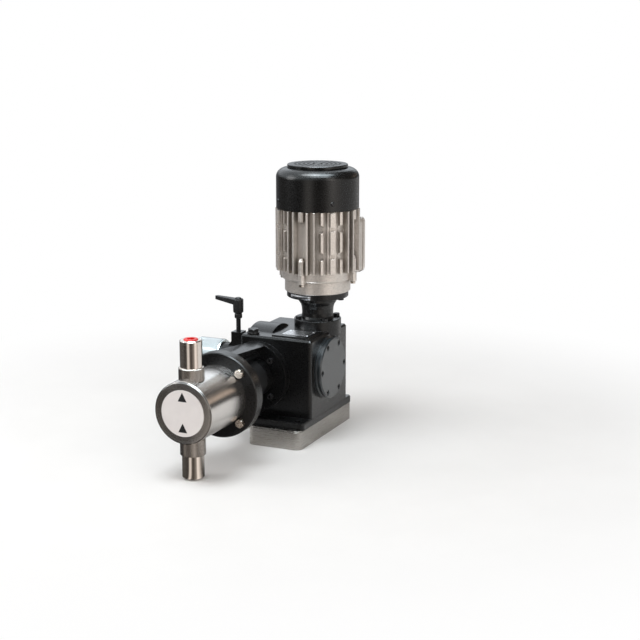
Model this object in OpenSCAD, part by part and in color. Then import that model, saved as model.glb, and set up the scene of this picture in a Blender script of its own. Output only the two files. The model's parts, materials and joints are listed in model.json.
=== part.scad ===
// Plunger dosing pump: worm gearbox, vertical motor, stainless pump head and stroke adjuster.
// Origin: centre of the base bolt pattern at the underside of the tray.
// +X right towards the side cover, +Y back away from the pump head, +Z up along the motor.

/* [Base] */
// Width of the tray
tray_w = 97; // [90:1:110]
// Length of the tray
tray_l = 216; // [206:1:240]
// Height of the tray
tray_h = 32; // [24:1:60]
// Sheet thickness of the tray
tray_wall = 3; // [2:0.5:5]
// Corner radius of the tray
tray_r = 12; // [8:1:16]
// Width of the foot
foot_w = 102; // [96:1:110]
// Length of the foot
foot_l = 198; // [190:1:204]
// Thickness of the foot
foot_t = 11.5; // [9:0.5:15]
// Bolt spacing across the foot
bolt_dx = 70; // [60:1:76]
// Bolt spacing along the foot
bolt_dy = 176; // [170:1:180]
// Diameter of the base bolt holes
bolt_d = 9; // [6.5:0.5:10]

/* [Gearbox housing] */
// Left face of the housing, from the origin
box_left = 79; // [76:1:84]
// Front face of the housing, from the origin
box_front = 69; // [67:1:72]
// Back face of the housing, from the origin
box_back = 79; // [76:1:86]
// Height of the housing above the foot
box_h = 133; // [130:1:138]
// Wall thickness of the housing
wall = 7; // [6:0.5:8]
// Corner radius of the housing
box_r = 5; // [3:0.5:8]
// Radius of the cast hump over the eccentric
hump_r = 66; // [64:1:70]
// Right end of the hump, left of the origin
hump_end = 35; // [33:1:38]

/* [Drive] */
// Distance of the wheel axis in front of the origin
wheel_y = 6.4; // [5:0.2:8]
// Height of the wheel axis above the housing floor plane
wheel_h = 75.5; // [74:0.5:77]
// Distance of the worm axis to the right of the origin
worm_x = 18; // [16:0.5:19]
// Gear module
gear_m = 2; // [1.9:0.05:2.05]
// Teeth of the worm wheel
wheel_teeth = 24; // [22:1:26]
// Pitch diameter of the worm
worm_d = 24; // [23:0.5:26]
// Threaded length of the worm
worm_l = 34; // [28:1:44]
// Face width of the worm wheel
wheel_w = 16; // [12:1:18]
// Diameter of the eccentric shaft
shaft_d = 20; // [16:1:22]
// Diameter of the worm shaft in its bearings
worm_shaft_d = 15; // [12:1:16]
// Throw of the eccentric
throw = 7; // [4:0.5:8]
// Radius of the eccentric disc
cam_r = 34; // [30:0.5:36]
// Width of the eccentric disc
cam_w = 18; // [12:1:20]

/* [Pump head] */
// Distance of the plunger axis to the left of the origin
plunger_x = 45; // [44:0.5:46]
// Height of the plunger axis below the wheel axis
plunger_drop = 8; // [6:0.5:10]
// Diameter of the plunger
plunger_d = 60; // [50:1:62]
// Diameter of the pump head
head_d = 98.6; // [94:0.5:104]
// Front face of the pump head, from the origin
head_front = 324.4; // [318:0.5:332]
// Front face of the clamp ring, from the origin
ring_front = 213; // [209:0.5:217]
// Diameter of the clamp ring and of the front flange of the lantern
flange_d = 138.6; // [134:0.5:146]
// Thickness of the clamp ring
ring_t = 12; // [10:0.5:14]
// Thickness of the lantern flange
flange_t = 9; // [7:0.5:12]
// Diameter of the lantern at the housing
lantern_d = 115; // [112:0.5:120]
// Wall of the lantern
lantern_wall = 9; // [6:0.5:12]
// Half angle of the top and bottom bridges of the lantern
bridge_a = 20; // [14:1:28]
// Bolt circle of the head bolts
head_pcd = 114; // [112:0.5:118]
// Diameter of the head bolts
head_bolt_d = 8; // [6:1:8]
// Distance of the valve axis behind the head face
valve_back = 29.4; // [28:0.4:32]
// Diameter of the valve sleeves
sleeve_d = 34.6; // [33:0.2:37]
// Half height over both valve fittings
valve_reach = 109; // [105:0.5:109]
// Diameter of the valve collars
collar_d = 40; // [38:0.5:44]
// Diameter of the valve balls
ball_d = 15; // [13:0.5:16]
// Lift of the valve balls
ball_lift = 5; // [3:0.5:6]

/* [Stroke adjuster] */
// Diameter of the fixed adjuster sleeve
adj_d = 47; // [44:0.5:50]
// Length of the adjuster sleeve outside the housing
adj_l = 79; // [76:0.5:82]
// Travel of the stroke knob
adj_travel = 10; // [6:0.5:10]
// Diameter of the knob barrel
barrel_d = 57; // [55:0.5:60]
// Length of the knob barrel
barrel_l = 46; // [36:1:54]
// Distance of the clamp lever from the housing face
lever_out = 36.5; // [34:0.5:38]
// Length of the clamp lever
lever_l = 44; // [36:1:60]

/* [Motor] */
// Diameter of the fan cowl
cowl_d = 139; // [137:0.5:142]
// Height of the fan cowl
cowl_h = 72.5; // [68:0.5:80]
// Diameter of the grille cap on the cowl
cap_d = 101.3; // [96:0.5:106]
// Length of the finned motor frame
frame_l = 105; // [98:1:120]
// Outer diameter of the plain motor frame
frame_d = 122; // [120:0.5:124]
// Diameter over the cooling fins
fin_d = 144; // [141:0.5:146]
// Thickness of a cooling fin
fin_t = 3.2; // [2.4:0.1:4]
// Width of a corner pad
pad_w = 38; // [34:1:42]
// Height of the motor adapter from the housing boss to the motor
adapter_h = 64; // [60:0.5:70]
// Diameter of the motor flange
flange71_d = 104.2; // [102:0.2:106]
// Diameter of the motor shaft
motor_shaft_d = 14; // [11:1:14]
// Reach of the terminal box beyond the cooling fins
tbox_reach = 37; // [30:1:42]
// Width of the terminal box
tbox_w = 82; // [76:1:86]
// Height of the terminal box
tbox_h = 96; // [88:1:100]
// Drop of the terminal box below the motor frame
tbox_drop = 19.5; // [0:0.5:24]

/* [Hidden] */
$fn = 64;
run = 0.05;
gap = 0.3;
slack = 0.5;
foot_z = tray_h + foot_t;
box_top = foot_z + box_h;
wheel_z = foot_z + wheel_h;
plunger_z = wheel_z - plunger_drop;
centre_dist = (gear_m * wheel_teeth + worm_d) / 2;
worm_y = centre_dist - wheel_y;
right = foot_w / 2;
boss_r = 40;
adapter_bolt_r = 34.5;
boss_top = box_top + 2.3;
boss_low = box_top - 14.5;
motor_z = boss_top + adapter_h;
shield_h = 36;
frame_z = motor_z + shield_h;
cowl_z = frame_z + frame_l;
top_z = cowl_z + cowl_h;
cover_t = 11.7;
cover_r = 52;
cover_pcd = 88.4;
cover_bore_r = 36;
big_bearing_r = 23.5;
big_bearing_w = 14;
small_bearing_r = 17.5;
small_bearing_w = 11;
web_right = worm_x - wheel_w / 2 - 16;
web_left = web_right - big_bearing_w;
cam_left = -plunger_x - cam_w / 2;
cam_right = -plunger_x + cam_w / 2;
stroke = 2 * throw;
tappet_y = -wheel_y - cam_r - throw - gap;
tappet_t = 6;
tappet_r = 22;
stem_r = 19;
bush_r = 24;
bush_back = box_front - wall;
bush_front = bush_back + 20;
barrel_r = 33;
barrel_bore = 28;
barrel_front = box_front + 35;
plate_t = 4;
plate_y = -barrel_front + 2;
stem_front = plate_y;
cover_wall = 5;
cover_front = barrel_front + 39;
rod_r = 12;
plunger_tip = head_front - valve_back - 15;
plunger_back = cover_front + stroke + 1;
seat_t = 5;
seat_r = 56.8;
seat_y = box_front + seat_t;
disc_t = 12;
lantern_back = seat_y;
flange_back = ring_front - ring_t - flange_t;
head_z0 = plunger_z - head_d / 2;
head_z1 = plunger_z + head_d / 2;
valve_y = -(head_front - valve_back);
collar_out = 16.7;
knob_face = -box_left - adj_l + 12;
adj_y = -wheel_y;
lever_x = -box_left - lever_out;
lug_w = 18.5;
lug_top = wheel_z + 46;
cone_tip = cam_left - 1.5 - adj_travel;
cone_l = 5;
pin_r = 9;
fan_z = cowl_z + 18;
adj_bore = 14;
lever_z = lug_top + 23;
lever_h = 34;
button_z = lever_z + lever_h - 3.8;
knob_end = knob_face - barrel_l;
pin_end = knob_end + 10;

// Turned shapes along each axis
module rod_x(y, z, x0, x1, r1, r2 = -1) {
  translate([x0, y, z]) rotate([0, 90, 0]) cylinder(h = x1 - x0, r1 = r1, r2 = r2 < 0 ? r1 : r2);
}
module rod_y(x, z, y0, y1, r1, r2 = -1) {
  translate([x, y0, z]) rotate([-90, 0, 0]) cylinder(h = y1 - y0, r1 = r1, r2 = r2 < 0 ? r1 : r2);
}
module rod_z(x, y, z0, z1, r1, r2 = -1) {
  translate([x, y, z0]) cylinder(h = z1 - z0, r1 = r1, r2 = r2 < 0 ? r1 : r2);
}
module slab(x0, x1, y0, y1, z0, z1) { translate([x0, y0, z0]) cube([x1 - x0, y1 - y0, z1 - z0]); }
module round_rect(w, l, r) {
  square([w - 2 * r, l], center = true);
  square([w, l - 2 * r], center = true);
  for (sx = [-1, 1], sy = [-1, 1]) translate([sx * (w / 2 - r), sy * (l / 2 - r)]) circle(r);
}
// A plain ring of square section, standing on z = 0
module ring(r_out, r_in, h) { rotate_extrude() translate([r_in, 0]) square([r_out - r_in, h]); }
// A hex head with a chamfered crown, standing on z = 0
module hex_head(af, h) {
  intersection() {
    cylinder(h = h, d = af / cos(30), $fn = 6);
    cylinder(h = h, r1 = af / 2 + h, r2 = af / 2);
  }
}
// A socket cap head, standing on z = 0
module cap_head(d, h, key) {
  difference() {
    cylinder(h = h, d = d);
    translate([0, 0, h * 0.45]) cylinder(h = h, d = key / cos(30), $fn = 6);
  }
}
// A sealed bearing along z: shields sit a little below the two faces
module bearing(r_out, r_in, w) {
  rim = (r_out - r_in) * 0.22;
  rotate_extrude() polygon([[r_in, 0], [r_in + rim, 0], [r_in + rim, 0.6], [r_out - rim, 0.6],
    [r_out - rim, 0],
    [r_out, 0], [r_out, w], [r_out - rim, w], [r_out - rim, w - 0.6], [r_in + rim, w - 0.6],
      [r_in + rim, w],
    [r_in, w]]);
}
module base_holes(z0, z1, d) {
  for (sx = [-1, 1], sy = [-1, 1]) rod_z(sx * bolt_dx / 2, sy * bolt_dy / 2, z0, z1, d / 2);
}

module base_tray() color("silver") {
  difference() {
    union() {
      difference() {
        union() {
          linear_extrude(tray_h - 2) round_rect(tray_w, tray_l, tray_r);
          translate([0, 0, tray_h - 2]) linear_extrude(2) round_rect(tray_w - 3, tray_l - 3, tray_r - 1.5);
        }
        translate([0, 0, -1]) linear_extrude(tray_h - tray_wall + 1)
          round_rect(tray_w - 2 * tray_wall, tray_l - 2 * tray_wall, tray_r - tray_wall);
      }
      base_holes(0, tray_h - 1, bolt_d + 8);
    }
    base_holes(-1, tray_h + 1, bolt_d);
  }
}

// Gearbox housing with its foot, hump, boss for the motor adapter and guide barrel for the crosshead
module cover_holes(x0, x1, r) {
  for (k = [0:5]) rod_x(-wheel_y + cover_pcd / 2 * cos(60 * k), wheel_z + cover_pcd / 2 * sin(60 * k),
    x0, x1, r);
}
module sleeve_holes(x0, x1, r) {
  for (k = [0:3]) rod_x(adj_y + sleeve_pcd_r * cos(45 + 90 * k),
    wheel_z + sleeve_pcd_r * sin(45 + 90 * k), x0, x1, r);
}
module lantern_holes(y0, y1, r) {
  for (k = [0:3]) rod_y(-plunger_x + seat_bolt_r * cos(45 + 90 * k),
    plunger_z + seat_bolt_r * sin(45 + 90 * k), y0, y1, r);
}
module adapter_holes(z0, z1, r) {
  for (k = [0:3]) rod_z(worm_x + adapter_bolt_r * cos(45 + 90 * k),
    worm_y + adapter_bolt_r * sin(45 + 90 * k), z0, z1, r);
}
sleeve_pcd_r = 30;
sleeve_screw_x = -box_left - 8.2;
seat_bolt_r = 43;
motor_bolt_r = 42.5;
box_cx = (right - box_left) / 2;
box_cy = (box_back - box_front) / 2;
box_w = right + box_left;
box_l = box_front + box_back;
pad_x0 = -26;
pad_x1 = 41;
pad_y0 = -58;
pad_y1 = 20;
pad_t = 1.8;
filler_x = -61;
filler_y = -57;
plate_x0 = pad_x0 + 12;
plate_x1 = pad_x1 - 7;
plate_y0 = pad_y0 + 13;
plate_y1 = worm_y - boss_r - 1.2;
drain_z = foot_z + 14;
glass_x = -30;
glass_z = wheel_z - 20;
module housing_outside() {
  translate([0, 0, tray_h]) linear_extrude(foot_t - 1.5) round_rect(foot_w, foot_l, box_r);
  translate([0, 0, foot_z - 1.5]) linear_extrude(1.5) round_rect(foot_w - 2, foot_l - 2, box_r - 1);
  translate([box_cx, box_cy, foot_z - 1]) linear_extrude(box_h - 2) round_rect(box_w, box_l, box_r);
  hull() {
    translate([box_cx, box_cy, box_top - 3.01]) linear_extrude(0.01)
      round_rect(box_w, box_l, box_r, $fn = 32);
    translate([box_cx, box_cy, box_top - 0.01]) linear_extrude(0.01)
      round_rect(box_w - 5, box_l - 5, box_r - 2.5, $fn = 32);
  }
  slab(pad_x0, pad_x1, pad_y0, pad_y1, box_top - 1, box_top + pad_t);
  intersection() {
    rod_x(-wheel_y, wheel_z, -box_left, -hump_end, hump_r);
    slab(-box_left, -hump_end, -box_front, box_back, box_top - 8, box_top + 30);
  }
  rod_z(worm_x, worm_y, boss_low + 6, boss_top, boss_r);
  rod_z(worm_x, worm_y, boss_low, boss_low + 6, boss_r - 4, boss_r);
  rod_x(-wheel_y, wheel_z, right - 4, right + 0.8, cover_r + 2);
  rod_y(-plunger_x, plunger_z, -seat_y, -box_front + 1, seat_r);
  rod_y(-plunger_x, plunger_z, -barrel_front, -box_front, barrel_r);
  rod_z(filler_x, filler_y, box_top - 2, box_top + 2, 10);
}
module housing_inside() {
  inner_back = box_back - wall;
  inner_front = box_front - wall;
  floor_z = foot_z + wall - 1;
  slab(web_right, right - wall, -inner_front, inner_back, floor_z, box_top - wall);
  slab(-box_left + wall, web_left, -inner_front, inner_back, floor_z, box_top - wall);
  rod_x(-wheel_y, wheel_z, -box_left + wall, -hump_end - wall, hump_r - wall);
}
module gearbox_housing() color([0.07, 0.07, 0.08]) {
  difference() {
    union() {
      difference() {
        housing_outside();
        housing_inside();
      }
      intersection() {
        union() {
          rod_x(-wheel_y, wheel_z, web_left, web_right, big_bearing_r + 7);
          rod_z(worm_x, worm_y, foot_z, foot_z + wall + 14, small_bearing_r + 6);
          rod_z(worm_x, worm_y, box_top - 20, boss_top, small_bearing_r + 7);
        }
        slab(-box_left + 1, right + 8, -box_front + 1, box_back - 1, tray_h, boss_top);
      }
    }
    base_holes(tray_h - 1, foot_z + 1, bolt_d);
    rod_x(-wheel_y, wheel_z, right - wall - 1, right + 2, cover_bore_r);
    cover_holes(right - wall + 1, right + 2, 2.5);
    rod_x(-wheel_y, wheel_z, web_left + 2, web_right + 1, big_bearing_r);
    rod_x(-wheel_y, wheel_z, web_left - 1, web_left + 3, big_bearing_r - 4);
    rod_z(worm_x, worm_y, foot_z + 9, foot_z + 40, small_bearing_r);
    rod_z(worm_x, worm_y, box_top - 40, boss_top + 1, small_bearing_r);
    adapter_holes(boss_low + 6, boss_top + 1, 2.5);
    rod_y(-plunger_x, plunger_z, -bush_front, -bush_back + 1, bush_r);
    rod_y(-plunger_x, plunger_z, -barrel_front - 1, -bush_front, barrel_bore);
    lantern_holes(-seat_y - 1, -box_front + wall - 2, 2.5);
    rod_x(adj_y, wheel_z, -box_left - 1, -box_left + wall + 1, 15);
    sleeve_holes(-box_left - 1, -box_left + wall - 1, 2);
    rod_z(filler_x, filler_y, box_top - wall - 2, box_top + 3, 5);
    rod_y(0, drain_z, box_back - wall - 1, box_back + 1, 5);
    rod_y(glass_x, glass_z, box_back - wall - 1, box_back + 1, 9);
    slab(plate_x0 - 0.5, plate_x1 + 0.5, plate_y0 - 0.5, plate_y1 + 0.5, box_top + pad_t - 0.8,
      box_top + pad_t + 1);
  }
}
module side_cover() color([0.1, 0.1, 0.11]) {
  difference() {
    union() {
      translate([right + 0.8, -wheel_y, wheel_z]) rotate([0, 90, 0]) rotate_extrude() polygon([[0, 0],
        [cover_r, 0],
        [cover_r, 3], [cover_r - 1.5, 4], [cover_r - 1.5, 6], [cover_r - 0.5, 7],
          [cover_r - 0.5, cover_t - 2],
        [cover_r - 2.5, cover_t], [0, cover_t]]);
      rod_x(-wheel_y, wheel_z, right - wall - 6, right + 0.9, cover_bore_r - run);
    }
    rod_x(-wheel_y, wheel_z, right - wall - 7, right - wall - 6 + big_bearing_w, big_bearing_r);
    rod_x(-wheel_y, wheel_z, right - wall - 7, right - wall + big_bearing_w, shaft_d / 2 + 2);
    rod_z(worm_x, worm_y, boss_low, boss_top, boss_r + 0.5);
    cover_holes(right, right + cover_t + 2, 2.75);
    cover_holes(right + cover_t - 5.2, right + cover_t + 2, 4.7);
  }
}
module side_cover_screws() color("dimgray") {
  for (k = [0:5])
    translate([right + cover_t - 5.2, -wheel_y + cover_pcd / 2 * cos(60 * k),
      wheel_z + cover_pcd / 2 * sin(60 * k)])
      rotate([0, 90, 0]) {
        cap_head(8.5, 5, 4);
        translate([0, 0, -wall - 5]) cylinder(h = wall + 5.5, r = 2.45);
      }
}
module nameplate() color("silver") {
  difference() {
    slab(plate_x0, plate_x1, plate_y0, plate_y1, box_top + pad_t - 0.8, box_top + pad_t + 0.1);
    for (x = [plate_x0 + 3, plate_x1 - 3], y = [plate_y0 + 3, plate_y1 - 3])
      rod_z(x, y, box_top, box_top + 9, 1.2);
  }
}
module oil_filler_plug() color([0.12, 0.12, 0.13]) {
  translate([filler_x, filler_y, box_top + 2]) {
    hex_head(17, 7);
    cylinder(h = 1.2, r = 11);
    translate([0, 0, -wall]) cylinder(h = wall + 1, r = 4.95);
  }
}
module oil_drain_plug() color([0.12, 0.12, 0.13]) {
  translate([0, box_back, drain_z]) rotate([-90, 0, 0]) {
    hex_head(14, 6);
    cylinder(h = 1.2, r = 9.5);
    translate([0, 0, -wall + 1]) cylinder(h = wall, r = 4.95);
  }
}
module oil_sight_glass() color("khaki") {
  translate([glass_x, box_back, glass_z]) rotate([-90, 0, 0]) {
    difference() {
      union() {
        hex_head(24, 5);
        cylinder(h = 1.5, r = 13.5);
      }
      translate([0, 0, 2]) cylinder(h = 5, r = 8);
    }
    translate([0, 0, -wall + 1]) cylinder(h = wall, r = 8.95);
  }
}

// Worm: one thread of straight-sided rack form, swept along the shaft
worm_r = worm_d / 2;
lead = PI * gear_m;
thread_root = worm_r - 1.2 * gear_m;
thread_tip = worm_r + gear_m;
tooth_gap = 0.5;
half_tip = lead / 4 - gear_m * tan(20) - tooth_gap;
half_root = half_tip + 2.2 * gear_m * tan(20);
function thread_radius(a) =
  let (s = abs(a) / 360 * lead)
  s < half_tip ? thread_tip : s > half_root ? thread_root
    : thread_tip - (s - half_tip) / (half_root - half_tip) * (thread_tip - thread_root);
module worm_shaft() color("lightslategray") {
  z0 = wheel_z - worm_l / 2;
  steps = [for (k = [0:23]) -180 + 15 * k];
  twist = -360 * worm_l / lead;
  translate([worm_x, worm_y, z0]) linear_extrude(worm_l, twist = twist, slices = ceil(worm_l / lead * 20),
    $fn = 24)
    rotate([0, 0, -90 + twist / 2])
      polygon([for (a = steps) let (r = thread_radius(a)) [r * cos(a), r * sin(a)]]);
  rod_z(worm_x, worm_y, foot_z + 20, z0 + 0.2, thread_root - 1);
  rod_z(worm_x, worm_y, z0 + worm_l - 0.2, box_top - 9.5, thread_root - 1);
  rod_z(worm_x, worm_y, foot_z + 9.5, foot_z + 20, worm_shaft_d / 2);
  rod_z(worm_x, worm_y, box_top - 9.5, boss_top + 6, worm_shaft_d / 2);
  rod_z(worm_x, worm_y, boss_top + 6, boss_top + 28, motor_shaft_d / 2);
}
module worm_wheel() color([0.72, 0.5, 0.25]) {
  wr = gear_m * wheel_teeth / 2;
  lead_angle = atan(gear_m / worm_d);
  root = centre_dist - thread_tip - 0.35;
  translate([worm_x, -wheel_y, wheel_z]) difference() {
    rotate([0, 90, 0]) translate([0, 0, -wheel_w / 2]) cylinder(h = wheel_w, r = wr + gear_m + 1.5);
    rotate([0, 90, 0]) rotate_extrude() translate([centre_dist, 0]) circle(thread_root + 0.35);
    rotate([0, 90, 0]) translate([0, 0, -wheel_w]) cylinder(h = 2 * wheel_w, r = shaft_d / 2 + 2 + run);
    for (k = [0:wheel_teeth - 1]) rotate([360 / wheel_teeth * k, 0, 0])
      translate([0, root, 0]) rotate([0, -lead_angle, 0]) tooth_space();
    for (s = [-1, 1]) rotate([0, 90, 0]) translate([0, 0, s * wheel_w / 2 - 2])
      ring(wr - 5, shaft_d / 2 + 7, 4);
  }
}
// Space between two wheel teeth: a wedge that opens outwards, along the width of the wheel
module tooth_space() {
  half_in = lead / 4 - gear_m * tan(20) + 0.05;
  depth = 9;
  half_out = half_in + depth * tan(22);
  translate([-wheel_w, 0, 0]) rotate([90, 0, 90]) linear_extrude(2 * wheel_w)
    polygon([[0, -half_in], [depth, -half_out], [depth, half_out], [0, half_in]]);
}
// Shaft with its overhung eccentric; at rest the eccentric points away from the crosshead
module eccentric_shaft() color("slategray") {
  rod_x(-wheel_y, wheel_z, web_right - big_bearing_w - 0.5, worm_x - wheel_w / 2 - 4, shaft_d / 2);
  rod_x(-wheel_y, wheel_z, worm_x - wheel_w / 2 - 4, worm_x - wheel_w / 2, shaft_d / 2 + 5);
  rod_x(-wheel_y, wheel_z, worm_x - wheel_w / 2, worm_x + wheel_w / 2 + 3, shaft_d / 2 + 2);
  rod_x(-wheel_y, wheel_z, worm_x + wheel_w / 2 + 3, right + 0.5, shaft_d / 2);
  rod_x(-wheel_y, wheel_z, cam_right - 1, web_left + 0.5, shaft_d / 2 + 4);
  rod_x(-wheel_y, wheel_z, web_left - 0.5, web_right - big_bearing_w + 0.5, shaft_d / 2 + 4);
  rod_x(-wheel_y + throw, wheel_z, cam_left, cam_right, cam_r);
}
module shaft_bearings() color("lightsteelblue") {
  translate([web_left + 2, -wheel_y, wheel_z]) rotate([0, 90, 0])
    bearing(big_bearing_r - 0.01, shaft_d / 2 + run, big_bearing_w - 2);
  translate([right - wall - 6, -wheel_y, wheel_z]) rotate([0, 90, 0])
    bearing(big_bearing_r - 0.01, shaft_d / 2 + run, big_bearing_w);
}
module worm_bearings() color("lightsteelblue") {
  for (z = [foot_z + 9, boss_top - small_bearing_w])
    translate([worm_x, worm_y, z]) bearing(small_bearing_r - 0.01, worm_shaft_d / 2 + run, small_bearing_w);
}

// Crosshead: flat tappet, guided stem and the side arm whose ramp meets the stop cone
arm_x0 = -box_left + wall + 1;
arm_x1 = cam_left - 2;
cone_slope = stroke / adj_travel;
ramp_c = -wheel_y - 2 - gap * sqrt(1 + cone_slope * cone_slope) - cone_slope * cone_tip - stroke;
module crosshead() color("gray") {
  rod_y(-plunger_x, plunger_z, tappet_y - tappet_t, tappet_y, tappet_r);
  rod_y(-plunger_x, plunger_z, stem_front, tappet_y - tappet_t, stem_r - run);
  rod_y(-plunger_x, plunger_z, -plunger_back - 12, stem_front, rod_r);
  translate([0, 0, wheel_z - 6]) linear_extrude(12) polygon([[arm_x0, tappet_y - tappet_t],
    [arm_x1, tappet_y - tappet_t], [arm_x1, cone_slope * arm_x1 + ramp_c],
      [arm_x0, cone_slope * arm_x0 + ramp_c]]);
}
module guide_bush() color([0.75, 0.55, 0.28]) {
  translate([-plunger_x, -bush_front, plunger_z]) rotate([-90, 0, 0])
    ring(bush_r - 0.01, stem_r, bush_front - bush_back - 1);
}
module spring_plate() color("gray") {
  translate([-plunger_x, plate_y - plate_t, plunger_z]) rotate([-90, 0, 0]) ring(27, rod_r + 0.02, plate_t);
}
spring_wire = 4;
spring_r = 23;
spring_turns = 4.5;
spring_y0 = -cover_front + cover_wall + gap;
spring_y1 = plate_y - plate_t - gap;
spring_span = spring_y1 - spring_y0 - spring_wire;
function spring_at(t) = [-plunger_x + spring_r * cos(360 * spring_turns * t),
  spring_y0 + spring_wire / 2 + spring_span * t, plunger_z + spring_r * sin(360 * spring_turns * t)];
module return_spring() color("steelblue") {
  n = 10;
  steps = 54;
  pts = [for (i = [0:steps], j = [0:n - 1]) let (t = i / steps, a = 360 * spring_turns * t, b = 360 * j / n)
    spring_at(t) + spring_wire / 2 * (cos(b) * [cos(a), 0, sin(a)] + sin(b) * [0, 1, 0])];
  sides = [for (i = [0:steps - 1], j = [0:n - 1]) let (k = (j + 1) % n)
    [i * n + j, i * n + k, (i + 1) * n + k, (i + 1) * n + j]];
  polyhedron(pts, concat(sides, [[for (j = [n - 1:-1:0]) j], [for (j = [0:n - 1]) steps * n + j]]));
}
module spring_cover() color([0.09, 0.09, 0.1]) {
  difference() {
    rod_y(-plunger_x, plunger_z, -cover_front, -barrel_front, barrel_r);
    rod_y(-plunger_x, plunger_z, -cover_front + cover_wall, -barrel_front + 1, barrel_bore + 1);
    rod_y(-plunger_x, plunger_z, -cover_front - 1, -barrel_front, rod_r + slack);
  }
}
module plunger() color("gainsboro") {
  difference() {
    union() {
      rod_y(-plunger_x, plunger_z, -plunger_tip + 2, -plunger_back, plunger_d / 2 - run);
      rod_y(-plunger_x, plunger_z, -plunger_tip, -plunger_tip + 2, plunger_d / 2 - 2, plunger_d / 2 - run);
    }
    rod_y(-plunger_x, plunger_z, -plunger_back - 12, -plunger_back + 1, rod_r + 0.01);
  }
}
pack_r = plunger_d / 2 + 8;
pack_l = 30;
pack_depth = 40;
module packing_rings() color([0.2, 0.2, 0.2]) {
  for (k = [0:3]) translate([-plunger_x, -ring_front - pack_depth + 0.2 + k * 7.5, plunger_z])
    rotate([-90, 0, 0])
    ring(pack_r - 0.02, plunger_d / 2, 7.2);
}
module gland_follower() color([0.08, 0.08, 0.08]) {
  y1 = -ring_front + ring_t + 0.5;
  difference() {
    union() {
      rod_y(-plunger_x, plunger_z, -ring_front - pack_depth + pack_l + 0.4, y1, pack_r - 0.1);
      rod_y(-plunger_x, plunger_z, y1, y1 + 8, pack_r + 4);
      rod_y(-plunger_x, plunger_z, y1 + 8, y1 + 24, plunger_d / 2 + 4);
    }
    rod_y(-plunger_x, plunger_z, -ring_front - pack_depth, y1 + 25, plunger_d / 2 + 0.4);
    for (k = [0:5]) rotate_about_plunger(60 * k) slab(pack_r - 0.5, pack_r + 9, y1 + 1.5, y1 + 9, -3, 3);
  }
}
module rotate_about_plunger(a) { translate([-plunger_x, 0, plunger_z]) rotate([0, a, 0]) children(); }

// Lantern between gearbox and head, open at both sides
module lantern() color([0.09, 0.09, 0.1]) {
  fr = flange_d / 2;
  lr = lantern_d / 2;
  y0 = -ring_front + ring_t;
  y1 = -flange_back;
  y2 = -lantern_back - disc_t;
  difference() {
    union() {
      translate([-plunger_x, y0, plunger_z]) rotate([-90, 0, 0]) rotate_extrude() polygon([[0, 0], [fr, 0],
        [fr, y1 - y0 - 1], [fr - 1, y1 - y0], [lr + 0.3, y2 - y0], [lr, y2 - y0 + 0.5],
          [lr, -lantern_back - y0 - 1],
        [lr - 1, -lantern_back - y0], [0, -lantern_back - y0]]);
    }
    translate([-plunger_x, y0 - 1, plunger_z]) rotate([-90, 0, 0]) rotate_extrude() polygon([[0, 0],
      [fr - lantern_wall - 9, 0], [fr - lantern_wall - 9, y1 - y0 + 1],
        [fr - lantern_wall - 1, y1 - y0 + 1.01],
      [lr - lantern_wall, y2 - y0 + 1], [0, y2 - y0 + 1]]);
    rod_y(-plunger_x, plunger_z, y2 - 1, -lantern_back + 1, barrel_r + run);
    lantern_holes(y2 - 1, -lantern_back + 1, 3.3);
    for (s = [-1, 1]) intersection() {
      rod_y(-plunger_x, plunger_z, y1, y2, fr + 1);
      translate([-plunger_x, y1, plunger_z]) rotate([-90, 0, 0]) linear_extrude(y2 - y1)
        polygon([[0, 0], [s * 2 * fr * sin(bridge_a), 2 * fr * cos(bridge_a)], [s * 2 * fr, 2 * fr],
          [s * 2 * fr, -2 * fr], [s * 2 * fr * sin(bridge_a), -2 * fr * cos(bridge_a)]]);
    }
    head_bolt_holes(y0 - 1, y1 + 1, head_bolt_d / 2);
  }
}
module head_bolt_holes(y0, y1, r) {
  for (k = [0:3]) rotate_about_plunger(45 + 90 * k) rod_y(head_pcd / 2, 0, y0, y1, r);
}
module lantern_screws() color("dimgray") {
  y2 = -lantern_back - disc_t;
  for (k = [0:3]) translate([-plunger_x + seat_bolt_r * cos(45 + 90 * k),
    y2, plunger_z + seat_bolt_r * sin(45 + 90 * k)])
    rotate([90, 0, 0]) {
      cap_head(9.5, 5.5, 5);
      translate([0, 0, -disc_t - seat_t - 4]) cylinder(h = disc_t + seat_t + 5, r = 2.45);
    }
}
head_flange_r = 51.8;
module head_clamp_ring() color([0.08, 0.08, 0.09]) {
  fr = flange_d / 2;
  difference() {
    translate([-plunger_x, -ring_front, plunger_z]) rotate([-90, 0, 0]) rotate_extrude() polygon([
      [head_d / 2 + 0.15, 0], [fr - 1.5, 0], [fr, 1.5], [fr, ring_t], [head_flange_r + 0.1, ring_t],
      [head_flange_r + 0.1, ring_t - 6], [head_d / 2 + 0.15, ring_t - 6]]);
    head_bolt_holes(-ring_front - 1, -ring_front + ring_t + 1, head_bolt_d / 2 + 0.4);
  }
}
module head_bolts() color([0.85, 0.78, 0.65]) {
  af = head_bolt_d * 1.625;
  for (k = [0:3]) rotate_about_plunger(45 + 90 * k) translate([head_pcd / 2, -ring_front, 0])
    rotate([90, 0, 0]) {
    cylinder(h = 1.4, r = head_bolt_d - 0.6);
    translate([0, 0, 1.4]) rotate([0, 0, 30]) hex_head(af, head_bolt_d * 0.66);
    translate([0, 0, -ring_t - flange_t + 0.5]) cylinder(h = ring_t + flange_t, r = head_bolt_d / 2 - 0.02);
  }
}

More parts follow.
